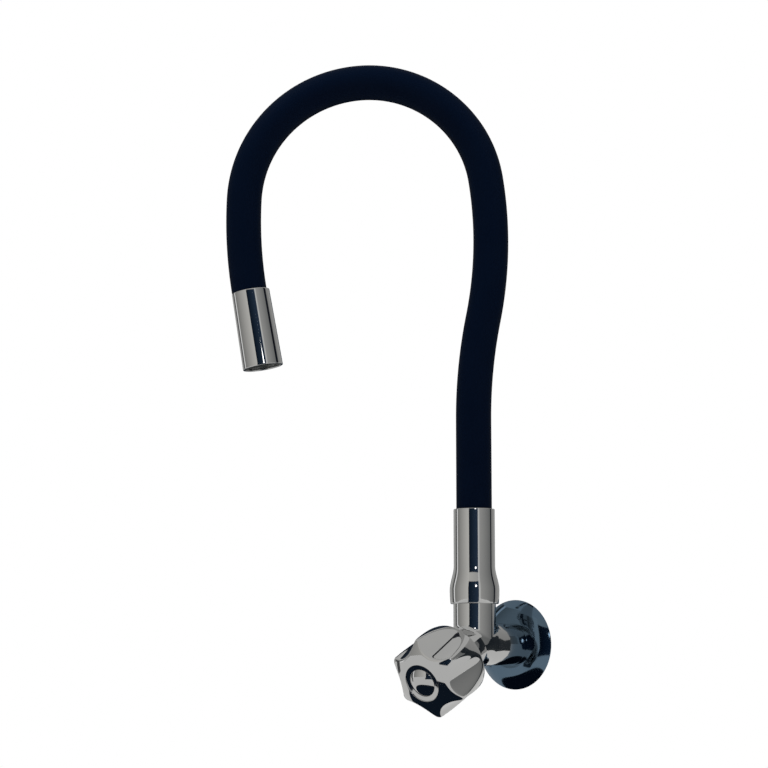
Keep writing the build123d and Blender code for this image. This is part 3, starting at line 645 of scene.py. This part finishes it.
@dataclass(eq=False)
class StarKnob:
    """Six-pointed knob with its cap, on the spindle of the cartridge."""

    points: int = 6
    start: float = 22.0
    point_d: float = 48.0
    valley_d: float = 35.4
    base_d: float = 42.4
    waist_bulge: float = 1.0
    height: float = 32.0
    point_drop: float = 6.0
    face_crown: float = 0.9
    flute_radius: float = 18.0
    edge_round: float = 1.3
    edge_passes: int = 6
    rim_round: float = 0.3
    tip_softness: float = 0.6
    skirt_bore_d: float = 30.2
    skirt_depth: float = 22.0
    socket_d: float = 18.6
    socket_start: float = 11.0
    insert_d: float = 14.2
    insert_end: float = 21.1
    ring_d: float = 22.0
    ring_recess: float = 0.5
    hole_d: float = 15.9
    cap_rim: float = 0.35
    cap_dome: float = 3.2
    cap_plug: float = 3.6
    cap_gap: float = 0.1
    cap_wall: float = 0.9
    cap_edge: float = 0.15
    facets: int = 288
    flank_rows: int = 30
    edge_rows: int = 6
    face_rows: int = 12

    def __post_init__(self) -> None:
        """Work out the place and the two guiding arcs of the blank."""
        self.place = ALONG_BRANCH @ Matrix.Translation((0.0, 0.0, self.start))
        edge = self.height - self.point_drop
        base, point, ring = self.base_d / 2, self.point_d / 2, self.ring_d / 2
        waist = (base + point) / 2 + self.waist_bulge
        crown = self.height - self.point_drop / 2 + self.face_crown
        flank = Profile(base, 0.0).arc((waist, edge / 2), (point, edge), steps=40)
        face = Profile(point, edge).arc(((point + ring) / 2, crown), (ring, self.height), steps=40)
        self.flank_arc = array(flank.points).T[::-1]
        self.face_arc = array(face.points[::-1]).T
        self.fade = atan((self.base_d - self.valley_d) / 2 / edge)

    def build(self) -> None:
        """Make the knob and its cap, and dress what they hide."""
        stand_for(self.star(), Body.HANDLE, "knob")
        stand_for(self.cap(), Body.HANDLE, "knob_cap")
        dress(BRASS, "knob_insert")
        dress(ZINC_STEEL, "knob_screw")
        dress(WHITE_PLASTIC, "spindle")
        dress(BLACK_RUBBER, "spindle_o_ring")
        dress(WHITE_CERAMIC, "moving_disc")

    def _reach(self, angle: float, height: float) -> float:
        """Radius of the fluted flank at an angle from the X axis and a height.

        Args:
            angle: Angle round the knob in radians.
            height: Height above the base of the knob.

        Returns:
            The radius, with the points softly rounded.
        """
        step = 2 * pi / self.points
        away = (angle + step / 2) % step - step / 2
        valley = self.base_d / 2 - height * tan(self.fade)
        centre = valley + self.flute_radius
        inside = max(0.0, self.flute_radius**2 - (centre * sin(away)) ** 2)
        flute = centre * cos(away) - sqrt(inside)
        blank = interp(height, *self.flank_arc)
        soft = self.tip_softness
        least = min(flute, blank)
        return least - soft * log(exp((least - flute) / soft) + exp((least - blank) / soft))

    @lru_cache(maxsize=None)
    def _edge(self, angle: float) -> Point:
        """Find where the flank meets the face.

        Args:
            angle: Angle round the knob in radians.

        Returns:
            Radius and height.
        """
        top = self.height - self.point_drop
        for _ in range(self.edge_passes):
            top = interp(self._reach(angle, top), *self.face_arc)
        return self._reach(angle, top), top

    def _station(self, angle: float, station: float) -> Point:
        """Point of the fluted outside at an angle, by station: 0 base, 1 top of flank, 2 face, 3 ring.

        Args:
            angle: Angle round the knob in radians.
            station: How far along the section the point lies.

        Returns:
            Radius and height.
        """
        edge, top = self._edge(round(angle, 4))
        flank_end = top - self.edge_round
        face_start = edge - self.edge_round
        if station <= 1:
            height = flank_end * station
            return self._reach(angle, height), height
        if station >= 2:
            radius = face_start + (self.ring_d / 2 - face_start) * (station - 2)
            return radius, interp(radius, *self.face_arc)
        share = station - 1
        flank, face = self._reach(angle, flank_end), interp(face_start, *self.face_arc)
        ends = (flank, flank_end), (edge, top), (face_start, face)
        weights = (1 - share) ** 2, 2 * share * (1 - share), share**2
        return tuple(sum(w * p[k] for w, p in zip(weights, ends)) for k in (0, 1))

    def star(self) -> Object:
        """Turn the blank, then press the six flutes into it.

        Returns:
            The knob.
        """
        counts = (self.flank_rows, self.edge_rows, self.face_rows)
        rows = [part + i / count for part, count in enumerate(counts) for i in range(count)] + [len(counts)]
        seat = self.height - self.ring_recess
        hole, insert, socket, skirt = (
            diameter / 2 for diameter in (self.hole_d, self.insert_d, self.socket_d, self.skirt_bore_d))
        inner = (
            (self.ring_d / 2, seat), (hole, seat), (hole, self.insert_end), (insert, self.insert_end),
            (insert, self.socket_start), (socket, self.socket_start), (socket, self.skirt_depth),
            (skirt, self.skirt_depth), (skirt, 0.0),
        )
        section = [(*self._station(0.0, row), row) for row in rows] + [(*corner, -1.0) for corner in inner]
        mesh = bmesh.new()
        mark = mesh.verts.layers.float.new("station")
        verts = []
        for radius, height, row in section:
            verts.append(mesh.verts.new((radius, 0.0, height)))
            verts[-1][mark] = row
        edges = [mesh.edges.new(pair) for pair in zip(verts, verts[1:] + verts[:1])]
        bmesh.ops.spin(
            mesh, geom=verts + edges, cent=(0, 0, 0), axis=UP, dvec=(0, 0, 0), angle=2 * pi,
            steps=self.facets, use_merge=True,
        )
        weld(mesh)
        for vert in mesh.verts:
            if vert[mark] >= 0:
                angle = Vector((1.0, 0.0)).angle_signed(vert.co.xy)
                radius, height = self._station(-angle, vert[mark])
                vert.co.xy *= radius / vert.co.xy.length
                vert.co.z = height
        face_out(mesh)
        break_edges(mesh, self.rim_round, sharper_than=50.0)
        return add_piece("star_knob", mesh, CHROME, self.place)

    def cap(self) -> Object:
        """Turn the domed cap that closes the hole in the face.

        Returns:
            The cap.
        """
        seat = self.height - self.ring_recess
        rim = self.hole_d / 2 + self.cap_rim
        plug, foot = self.hole_d / 2 - self.cap_gap, seat - self.cap_plug
        inside = plug - self.cap_wall
        ball = (rim**2 + self.cap_dome**2) / (2 * self.cap_dome)
        middle = rim / 2
        rise = seat + self.cap_dome - ball + sqrt(ball**2 - middle**2)
        profile = Profile(0.0, seat + self.cap_dome).arc((middle, rise), (rim, seat), steps=20)
        profile.line((plug, seat), (plug, foot), (inside, foot), (inside, seat), (0.0, seat))
        mesh = profile.turned(steps=128, closed=False)
        break_edges(mesh, self.cap_edge)
        return add_piece("dome_cap", mesh, CHROME, self.place)


@dataclass
class SleeveNut:
    """Bell-shaped nut that slides on the hose and screws on the boss."""

    base: float = 23.0
    length: float = 55.0
    neck_d: float = 24.0
    bore_d: float = 21.6
    bell_d: float = 28.8
    bell_length: float = 8.0
    flare_length: float = 14.0
    lip: float = 0.5
    lip_draft: float = 0.4
    thread_d: float = 26.3
    thread_top: float = 30.3
    recess_d: float = 23.0
    recess_top: float = 33.5

    def build(self) -> None:
        """Turn the nut from bar."""
        top = self.base + self.length
        neck, bell, bore = self.neck_d / 2, self.bell_d / 2, self.bore_d / 2
        thread, recess = self.thread_d / 2, self.recess_d / 2
        settle = self.base + self.bell_length
        foot = bell - self.lip_draft
        profile = Profile(bore, top).line((neck, top), (neck, settle + self.flare_length))
        profile.ease((bell, settle), steps=28)
        profile.arc((bell - self.lip_draft / 4, (self.base + settle) / 2), (foot, self.base), steps=10)
        profile.line(
            (thread, self.base), (thread, self.thread_top), (recess, self.thread_top),
            (recess, self.recess_top), (bore, self.recess_top),
        )
        mesh = profile.turned(steps=192)
        break_edges(mesh, self.lip, sharper_than=40.0)
        stand_for(add_piece("bell_sleeve", mesh, CHROME, ALONG_BOSS), Body.SLEEVE, "union_sleeve")


@dataclass
class SpoutTail:
    """Plug end of the spout with its two rubber rings and its split thrust ring."""

    hose_end: float = 59.6
    ring_base: float = 30.0
    ring_top: float = 33.2
    ring_d: float = 22.4
    ring_split: float = 2.0
    top_d: float = 17.5
    waist_d: float = 15.3
    waist_hollow: float = 0.25
    flare_d: float = 18.1
    flare_length: float = 10.0
    flare_rim_share: float = 0.3
    plug_d: float = 18.3
    plug_length: float = 17.4
    end_taper: float = 3.2
    end_depth: float = 1.2
    groove_depth: float = 0.6
    rubber_d: float = 20.3
    rubber_section: float = 3.3
    rubber_first: float = 3.6
    rubber_pitch: float = 5.5
    waterway_d: float = 7.0
    spigot_d: float = 10.6
    spigot_length: float = 22.0
    gap: float = 0.1
    tail_edge: float = 0.2
    ring_edge: float = 0.25

    def build(self) -> None:
        """Make the tail and its rings."""
        stand_for(self.tail(), Body.SPOUT, "tail_fitting")
        first = self.ring_base - self.rubber_first
        for name, height in (("upper", first), ("lower", first - self.rubber_pitch)):
            stand_for(self.rubber_ring(name, height), Body.SPOUT, f"tail_o_ring_{name}")
        stand_for(self.thrust_ring(), Body.SPOUT, "thrust_ring")

    def tail(self) -> Object:
        """Turn the waisted tail with its grooves.

        Returns:
            The tail.
        """
        end, spigot_top = self.ring_base - self.plug_length, self.hose_end + self.spigot_length
        plug, groove, spigot = self.plug_d / 2, self.plug_d / 2 - self.groove_depth, self.spigot_d / 2
        waist, flare, waterway = self.waist_d / 2, self.flare_d / 2, self.waterway_d / 2
        flare_top = self.ring_top + self.flare_length
        bottom = self.rubber_d / 2 - self.rubber_section - self.gap
        half = self.rubber_section / 2 + self.gap
        over, under = self.ring_top + self.gap, self.ring_base - self.gap
        profile = Profile(waterway, spigot_top)
        profile.line((spigot, spigot_top), (spigot, self.hose_end), (self.top_d / 2, self.hose_end))
        middle = (self.top_d + self.waist_d) / 4 - self.waist_hollow
        profile.arc((middle, (self.hose_end + flare_top) / 2), (waist, flare_top))
        profile.ease((flare, self.ring_top + self.flare_rim_share * self.flare_length))
        profile.line((flare, over), (groove, over), (groove, under), (plug, under))
        first = self.ring_base - self.rubber_first
        for height in (first, first - self.rubber_pitch):
            high, low = height + half, height - half
            profile.line((plug, high), (bottom, high), (bottom, low), (plug, low))
        profile.line((plug, end + self.end_taper), (plug - self.end_depth, end), (waterway, end))
        mesh = profile.turned()
        break_edges(mesh, self.tail_edge)
        return add_piece("plug_tail", mesh, CHROME, ALONG_BOSS)

    def rubber_ring(self, name: str, height: float) -> Object:
        """Mould one rubber ring of round section.

        Args:
            name: End of its name.
            height: Height of its middle.

        Returns:
            The ring.
        """
        radius = self.rubber_section / 2
        middle = self.rubber_d / 2 - radius
        profile = Profile(middle + radius, height)
        profile.arc((middle, height + radius), (middle - radius, height))
        profile.arc((middle, height - radius), (middle + radius, height))
        profile.points.pop()
        return add_piece(f"rubber_ring_{name}", profile.turned(steps=120), BLACK_RUBBER, ALONG_BOSS)

    def thrust_ring(self) -> Object:
        """Mould the split ring, open where it springs over the tail.

        Returns:
            The ring.
        """
        bore = self.plug_d / 2 - self.groove_depth + self.gap
        outer = self.ring_d / 2
        split = self.ring_split / outer
        profile = Profile(bore, self.ring_base).line(
            (outer, self.ring_base), (outer, self.ring_top), (bore, self.ring_top))
        mesh = profile.turned(steps=150, angle=2 * pi - split)
        bmesh.ops.rotate(mesh, cent=(0, 0, 0), matrix=Matrix.Rotation(split / 2, 3, "Z"), verts=mesh.verts[:])
        break_edges(mesh, self.ring_edge)
        return add_piece("split_ring", mesh, BLUE_PLASTIC, ALONG_BOSS)


@dataclass(frozen=True)
class Layer:
    """One tube of the flexible spout, with its fineness round and along the spout."""

    name: str
    node: str
    outer_d: float
    inner_d: float
    finish: Finish
    facets: int
    step: float


@dataclass
class Gooseneck:
    """Flexible spout: three tubes one in another, along a rise and five tangent arcs."""

    start: float = 59.6
    rise: float = 71.0
    lean_out: Point = (304.0, 11.5)
    rear_leg: Point = (238.0, -20.4)
    rear_crown: Point = (70.2, -84.4)
    front_crown: Point = (75.0, -84.3)
    front_leg: Point = (265.0, -12.1)
    socket: float = 20.0
    layers: tuple[Layer, ...] = (
        Layer("hose_skin", "hose_cover", 20.8, 16.4, BLACK_SILICONE, 72, 2.2),
        Layer("spring_core", "gooseneck_core", 16.2, 14.2, STEEL_COIL, 40, 4.0),
        Layer("water_hose", "water_tube", 14.0, 10.8, CLEAR_TUBE, 32, 5.0),
    )
    bend_start: Point = (28.6, 4.0)
    bend_end: Point = (142.1, 20.0)
    least_steps: int = 4

    @property
    def arcs(self) -> tuple[Point, ...]:
        """Radius and turn of each arc, from the rise to the outlet."""
        return self.lean_out, self.rear_leg, self.rear_crown, self.front_crown, self.front_leg

    def build(self) -> None:
        """Draw the three layers in the frame in the place of the solid tubes."""
        for layer in self.layers:
            piece = add_piece(layer.name, self.swept(layer), layer.finish)
            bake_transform(piece)
            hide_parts(layer.node)
            LOG.info("%s bends from spout to outlet, %d faces", layer.name, len(piece.data.polygons))

    def swept(self, layer: Layer) -> BMesh:
        """Sweep one tube along the spout.

        Args:
            layer: Diameters and fineness of the tube.

        Returns:
            The tube, in the frame.
        """
        mesh = bmesh.new()
        for diameter in (layer.outer_d, layer.inner_d):
            ring = bmesh.ops.create_circle(mesh, segments=layer.facets, radius=diameter / 2)["verts"]
            edges = {edge for vert in ring for edge in vert.link_edges}
            self._sweep(mesh, ring + list(edges), layer.step)
        ends = [edge for edge in mesh.edges if edge.is_boundary]
        low = [edge for edge in ends if all(abs(v.co.z) < WELD for v in edge.verts)]
        for loops in (low, [edge for edge in ends if edge not in low]):
            bmesh.ops.bridge_loops(mesh, edges=loops)
        weld(mesh)
        face_out(mesh)
        place = axis_frame((SPOUT_AXIS.x, SPOUT_AXIS.y, self.start * MM), UP, ARCH_OUT)
        bmesh.ops.transform(mesh, matrix=place, verts=mesh.verts[:])
        return mesh

    def _sweep(self, mesh: BMesh, ring: list, step: float) -> None:
        """Carry a ring along the rise, the arcs and the run in the ferrule.

        Args:
            mesh: Mesh that holds the ring.
            ring: Verts and edges of the ring, about the origin and square to Z.
            step: Length between two rings.
        """
        spot, heading, normal = Vector(), Vector((0.0, 0.0, 1.0)), Vector((0.0, 1.0, 0.0))
        for size, turn in ((self.rise, 0.0), *self.arcs, (self.socket, 0.0)):
            angle = radians(-turn)
            run = heading * (0.0 if turn else size)
            centre = spot + normal.cross(heading) * (size if turn < 0 else -size)
            steps = max(self.least_steps, round(size * (abs(angle) if turn else 1.0) / step))
            made = bmesh.ops.spin(
                mesh, geom=ring, cent=centre, axis=normal, dvec=run / steps, angle=angle, steps=steps,
                use_merge=False,
            )
            ring = made["geom_last"]
            spin = Matrix.Rotation(angle, 3, normal)
            spot = centre + spin @ (spot - centre) + run
            heading = spin @ heading


@dataclass
class Outlet:
    """Flared ferrule on the end of the hose, with its aerator."""

    length: float = 46.0
    top_d: float = 22.4
    end_d: float = 23.8
    bore_d: float = 21.0
    socket: float = 20.1
    web_hole_d: float = 10.8
    cavity_start: float = 23.1
    cavity_d: float = 21.0
    barb_grip: float = 15.0
    barb_stand: float = 2.0
    edge: float = 0.35

    def build(self, spout: Gooseneck) -> None:
        """Turn the ferrule on the end of the spout, and dress what it holds.

        Args:
            spout: The flexible spout, which says where the outlet points.
        """
        low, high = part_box("outlet_barb")
        turned = radians(sum(turn for _, turn in spout.arcs))
        heading = ARCH_OUT * -sin(turned) + UP * cos(turned)
        barb_start, barb_end = spout.socket - self.barb_grip, self.cavity_start + self.barb_stand
        top = (low + high) / 2 - heading * (barb_start + barb_end) / 2 * MM
        place = axis_frame(top, heading, ARCH_NORMAL)
        bore, cavity, web = self.bore_d / 2, self.cavity_d / 2, self.web_hole_d / 2
        profile = Profile(bore, 0.0).line(
            (self.top_d / 2, 0.0), (self.end_d / 2, self.length), (cavity, self.length),
            (cavity, self.cavity_start), (web, self.cavity_start), (web, self.socket), (bore, self.socket),
        )
        mesh = profile.turned(steps=176)
        break_edges(mesh, self.edge)
        stand_for(add_piece("flared_ferrule", mesh, CHROME, place), Body.OUTLET, "outlet_ferrule")
        dress(BRASS, "outlet_barb")
        dress(BLACK_RUBBER, "aerator_washer")
        dress(GREY_PLASTIC, "aerator_housing", "aerator_screen")


@dataclass(frozen=True)
class Board:
    """A curved reflector that stands round the object and is seen only in what shines.

    Bearings are in degrees to the right of the camera, and heights in metres from the middle of the object.
    The tone runs from side to side, and a foot can run inwards from the lower edge to a radius.
    """

    name: str
    start: float
    end: float
    tone: Colour
    far_tone: Colour
    low: float = -0.25
    high: float = 0.95
    foot: float = 0.0


@dataclass(frozen=True)
class Card:
    """A round reflector that faces the object and is seen only in what shines.

    Bearing and lift are in degrees, to the right of the camera and above the horizon.
    """

    name: str
    bearing: float
    lift: float
    distance: float
    radius: float
    tone: Colour


@dataclass(frozen=True)
class Lamp:
    """A soft square lamp: bearing and lift in degrees, distance and side in metres, power in watts."""

    name: str
    bearing: float
    lift: float
    distance: float
    side: float
    power: float


@dataclass
class Studio:
    """Floor, lamps, reflectors, white background and camera."""

    azimuth: float = 40.0
    elevation: float = -8.0
    distance: float = 1.25
    lens: float = 100.0
    sight: tuple[float, float, float] = (-0.036, -0.078, 0.151)
    floor_gap: float = 0.07
    floor_near: float = 0.30
    floor_far: float = 0.75
    floor_size: float = 20.0
    floor_lift: float = 0.35
    floor_roughness: float = 0.9
    floor_tone: tuple[float, ...] = (0.86, 0.86, 0.86, 1.0)
    shade_tone: tuple[float, ...] = (0.9, 0.92, 0.95, 1.0)
    shade_strength: float = 0.45
    ring_radius: float = 1.3
    board_facet: float = 3.0
    board_margin: float = 1.0
    boards: tuple[Board, ...] = (
        Board("back_dark_board", -202.0, -162.0, (0.030, 0.045, 0.065), (0.012, 0.018, 0.028), foot=0.30),
        Board("back_left_board", -162.0, -128.0, (0.60, 0.60, 0.59), (0.34, 0.34, 0.33)),
        Board("left_strip", -128.0, -117.0, (0.05, 0.055, 0.06), (0.10, 0.10, 0.10), foot=0.30),
        Board("left_board", -108.0, -30.0, (0.26, 0.26, 0.25), (0.70, 0.69, 0.66)),
        Board("dark_board", -30.0, 20.0, (0.004, 0.010, 0.020), (0.026, 0.046, 0.082), high=0.56, foot=0.30),
        Board("upper_board", -30.0, 20.0, (0.62, 0.61, 0.58), (0.50, 0.50, 0.49), low=0.56),
        Board("near_right_board", 20.0, 29.0, (0.80, 0.81, 0.80), (0.60, 0.60, 0.59)),
        Board("right_board", 29.0, 98.0, (0.44, 0.44, 0.43), (0.19, 0.195, 0.195)),
        Board("right_strip", 98.0, 109.0, (0.012, 0.016, 0.022), (0.03, 0.035, 0.04), foot=0.30),
        Board("back_right_board", 109.0, 158.0, (0.32, 0.32, 0.315), (0.46, 0.46, 0.45)),
    )
    cards: tuple[Card, ...] = (
        Card("lid_card", 0.0, 90.0, 0.95, 1.3, (0.58, 0.58, 0.57)),
        Card("base_card", 0.0, -90.0, 0.256, 1.3, (0.70, 0.70, 0.69)),
        Card("dark_mat", 0.0, -90.0, 0.252, 0.10, (0.006, 0.011, 0.020)),
        Card("spark_card", 7.0, 10.0, 1.2, 0.085, (4.0, 4.0, 4.0)),
    )
    lamps: tuple[Lamp, ...] = (
        Lamp("key_lamp", -20.0, 60.0, 1.1, 0.6, 9.0),
        Lamp("fill_lamp", 95.0, 40.0, 1.1, 0.35, 4.0),
        Lamp("back_lamp", 215.0, 50.0, 1.1, 0.5, 4.0),
    )

    def build(self) -> None:
        """Set up the studio."""
        self.background()
        self.floor()
        for board in self.boards:
            self.board(board)
        for card in self.cards:
            self.card(card)
        for lamp in self.lamps:
            self.lamp(lamp)
        self.camera()
        bpy.context.scene.view_settings.view_transform = "Standard"

    def spot(self, azimuth: float, elevation: float, distance: float) -> Vector:
        """Find a point at a bearing from the middle of the object.

        Args:
            azimuth: Bearing in degrees.
            elevation: Degrees above the horizon.
            distance: Distance in metres.

        Returns:
            The point.
        """
        turn, lift = radians(azimuth), radians(elevation)
        way = Vector((sin(turn) * cos(lift), -cos(turn) * cos(lift), sin(lift)))
        return Vector(self.sight) + way * distance

    def facing(self, place: Vector) -> Matrix:
        """Matrix at a place whose local -Z looks at the middle of the object."""
        turn = (Vector(self.sight) - place).to_track_quat("-Z", "Y")
        return Matrix.Translation(place) @ turn.to_matrix().to_4x4()

    def background(self) -> None:
        """Make the world white to the eye and in what shines, and a soft grey light elsewhere."""
        world = bpy.data.worlds.new("studio")
        bpy.context.scene.world = world
        world.use_nodes = True
        tree = world.node_tree
        shade = tree.nodes["Background"]
        feed(tree, shade, {"Color": self.shade_tone, "Strength": self.shade_strength})
        white = add_node(tree, "ShaderNodeBackground", {"Color": WHITE})
        path = tree.nodes.new("ShaderNodeLightPath")
        seen = path.outputs["Is Camera Ray"]
        for name in ("Is Glossy Ray", "Is Transmission Ray"):
            either = add_node(tree, "ShaderNodeMath", {0: seen, 1: path.outputs[name]}, operation="MAXIMUM")
            seen = either.outputs["Value"]
        choose = add_node(tree, "ShaderNodeMixShader", {
            "Fac": seen, 1: shade.outputs["Background"], 2: white.outputs["Background"],
        })
        feed(tree, tree.nodes["World Output"], {"Surface": choose.outputs["Shader"]})

    def floor(self) -> None:
        """Lay a pale floor just below the object, white to the eye apart from the shadow."""
        mesh = bmesh.new()
        bmesh.ops.create_grid(mesh, x_segments=1, y_segments=1, size=self.floor_size)
        height = CAD_BOX[0][2] - self.floor_gap
        bmesh.ops.translate(mesh, vec=(0, 0, height), verts=mesh.verts[:])
        material, tree, shader = new_material("floor_paint")
        seen = tree.nodes.new("ShaderNodeLightPath").outputs["Is Camera Ray"]
        lift = add_node(tree, "ShaderNodeMath", {0: seen, 1: self.floor_lift}, operation="MULTIPLY")
        feed(tree, shader, {
            "Base Color": self.floor_tone, "Roughness": self.floor_roughness, "Specular IOR Level": 0.0,
            "Emission Color": WHITE, "Emission Strength": lift.outputs["Value"],
        })
        where = tree.nodes.new("ShaderNodeTexCoord").outputs["Object"]
        middle = (self.sight[0], self.sight[1], height)
        distance = add_node(tree, "ShaderNodeVectorMath", {0: where, 1: middle}, operation="DISTANCE")
        away = add_node(tree, "ShaderNodeMapRange", {
            "From Min": self.floor_near, "From Max": self.floor_far, "Value": distance.outputs["Value"],
        }, interpolation_type="SMOOTHSTEP")
        white = tree.nodes.new("ShaderNodeEmission")
        choose = add_node(tree, "ShaderNodeMixShader", {
            "Fac": away.outputs["Result"], 1: shader.outputs["BSDF"], 2: white.outputs["Emission"],
        })
        feed(tree, tree.nodes["Material Output"], {"Surface": choose.outputs["Shader"]})
        new_object("floor", mesh, material)

    def board(self, board: Board) -> None:
        """Stand one reflector up.

        Args:
            board: Its bearings, heights and tones.
        """
        mesh = bmesh.new()
        corners = [(self.ring_radius, board.low), (self.ring_radius, board.high)]
        if board.foot:
            corners.insert(0, (board.foot, board.low))
        bearing = self.azimuth + board.start
        verts = [mesh.verts.new(self.spot(bearing, 0.0, radius) + UP * height) for radius, height in corners]
        edges = [mesh.edges.new(pair) for pair in zip(verts, verts[1:])]
        sweep = radians(board.end - board.start)
        bmesh.ops.spin(
            mesh, geom=verts + edges, cent=self.sight, axis=UP, dvec=(0, 0, 0), angle=sweep,
            steps=max(2, round(degrees(sweep) / self.board_facet)), use_merge=False,
        )
        tone = mesh.verts.layers.float_color.new("tone")
        near, far = Vector(board.tone), Vector(board.far_tone)
        for vert in mesh.verts:
            way = vert.co - Vector(self.sight)
            turned = degrees(atan2(way.x, -way.y)) - self.azimuth - board.start
            share = min(1.0, (turned + self.board_margin) % 360 / (board.end - board.start))
            vert[tone] = (*near.lerp(far, share), 1.0)
        self._hang(board.name, mesh)

    def card(self, card: Card) -> None:
        """Hang one round reflector.

        Args:
            card: Its place, size and tone.
        """
        mesh = bmesh.new()
        place = self.spot(self.azimuth + card.bearing, card.lift, card.distance)
        bmesh.ops.create_circle(
            mesh, cap_ends=True, segments=64, radius=card.radius, matrix=self.facing(place),
        )
        tone = mesh.verts.layers.float_color.new("tone")
        for vert in mesh.verts:
            vert[tone] = (*card.tone, 1.0)
        self._hang(card.name, mesh)

    def _hang(self, name: str, mesh: BMesh) -> None:
        """Turn a reflector's mesh into an object that only shiny surfaces see.

        Args:
            name: Name of the reflector.
            mesh: Its shape with the tone of each vertex, freed here.
        """
        material, tree, shader = new_material(f"{name}_paint")
        tone = add_node(tree, "ShaderNodeAttribute", {}, attribute_name="tone")
        feed(tree, shader, {
            "Base Color": BLACK, "Specular IOR Level": 0.0,
            "Emission Color": tone.outputs["Color"], "Emission Strength": 1.0,
        })
        piece = new_object(name, mesh, material)
        piece.visible_camera = piece.visible_diffuse = False
        piece.visible_shadow = piece.visible_transmission = False

    def lamp(self, lamp: Lamp) -> None:
        """Hang one soft lamp, which shiny surfaces don't mirror.

        Args:
            lamp: Its place, size and power.
        """
        light = bpy.data.lights.new(lamp.name, "AREA")
        light.energy, light.size = lamp.power, lamp.side
        piece = bpy.data.objects.new(lamp.name, light)
        piece.matrix_world = self.facing(self.spot(lamp.bearing, lamp.lift, lamp.distance))
        piece.visible_glossy = False
        bpy.context.scene.collection.objects.link(piece)

    def camera(self) -> None:
        """Set the camera where the arch is seen face on."""
        view = bpy.data.cameras.new("camera")
        view.lens = self.lens
        camera = bpy.data.objects.new("camera", view)
        camera.matrix_world = self.facing(self.spot(self.azimuth, self.elevation, self.distance))
        bpy.context.scene.collection.objects.link(camera)
        bpy.context.scene.camera = camera


def main() -> None:
    """Build the tap and the studio round it."""
    logging.basicConfig(level=logging.INFO, format="%(relativeCreated)d ms %(name)s: %(message)s")
    spout = Gooseneck()
    ValveBody().build()
    StarKnob().build()
    SleeveNut().build()
    SpoutTail().build()
    spout.build()
    Outlet().build(spout)
    Studio().build()


if __name__ == "__main__":
    main()
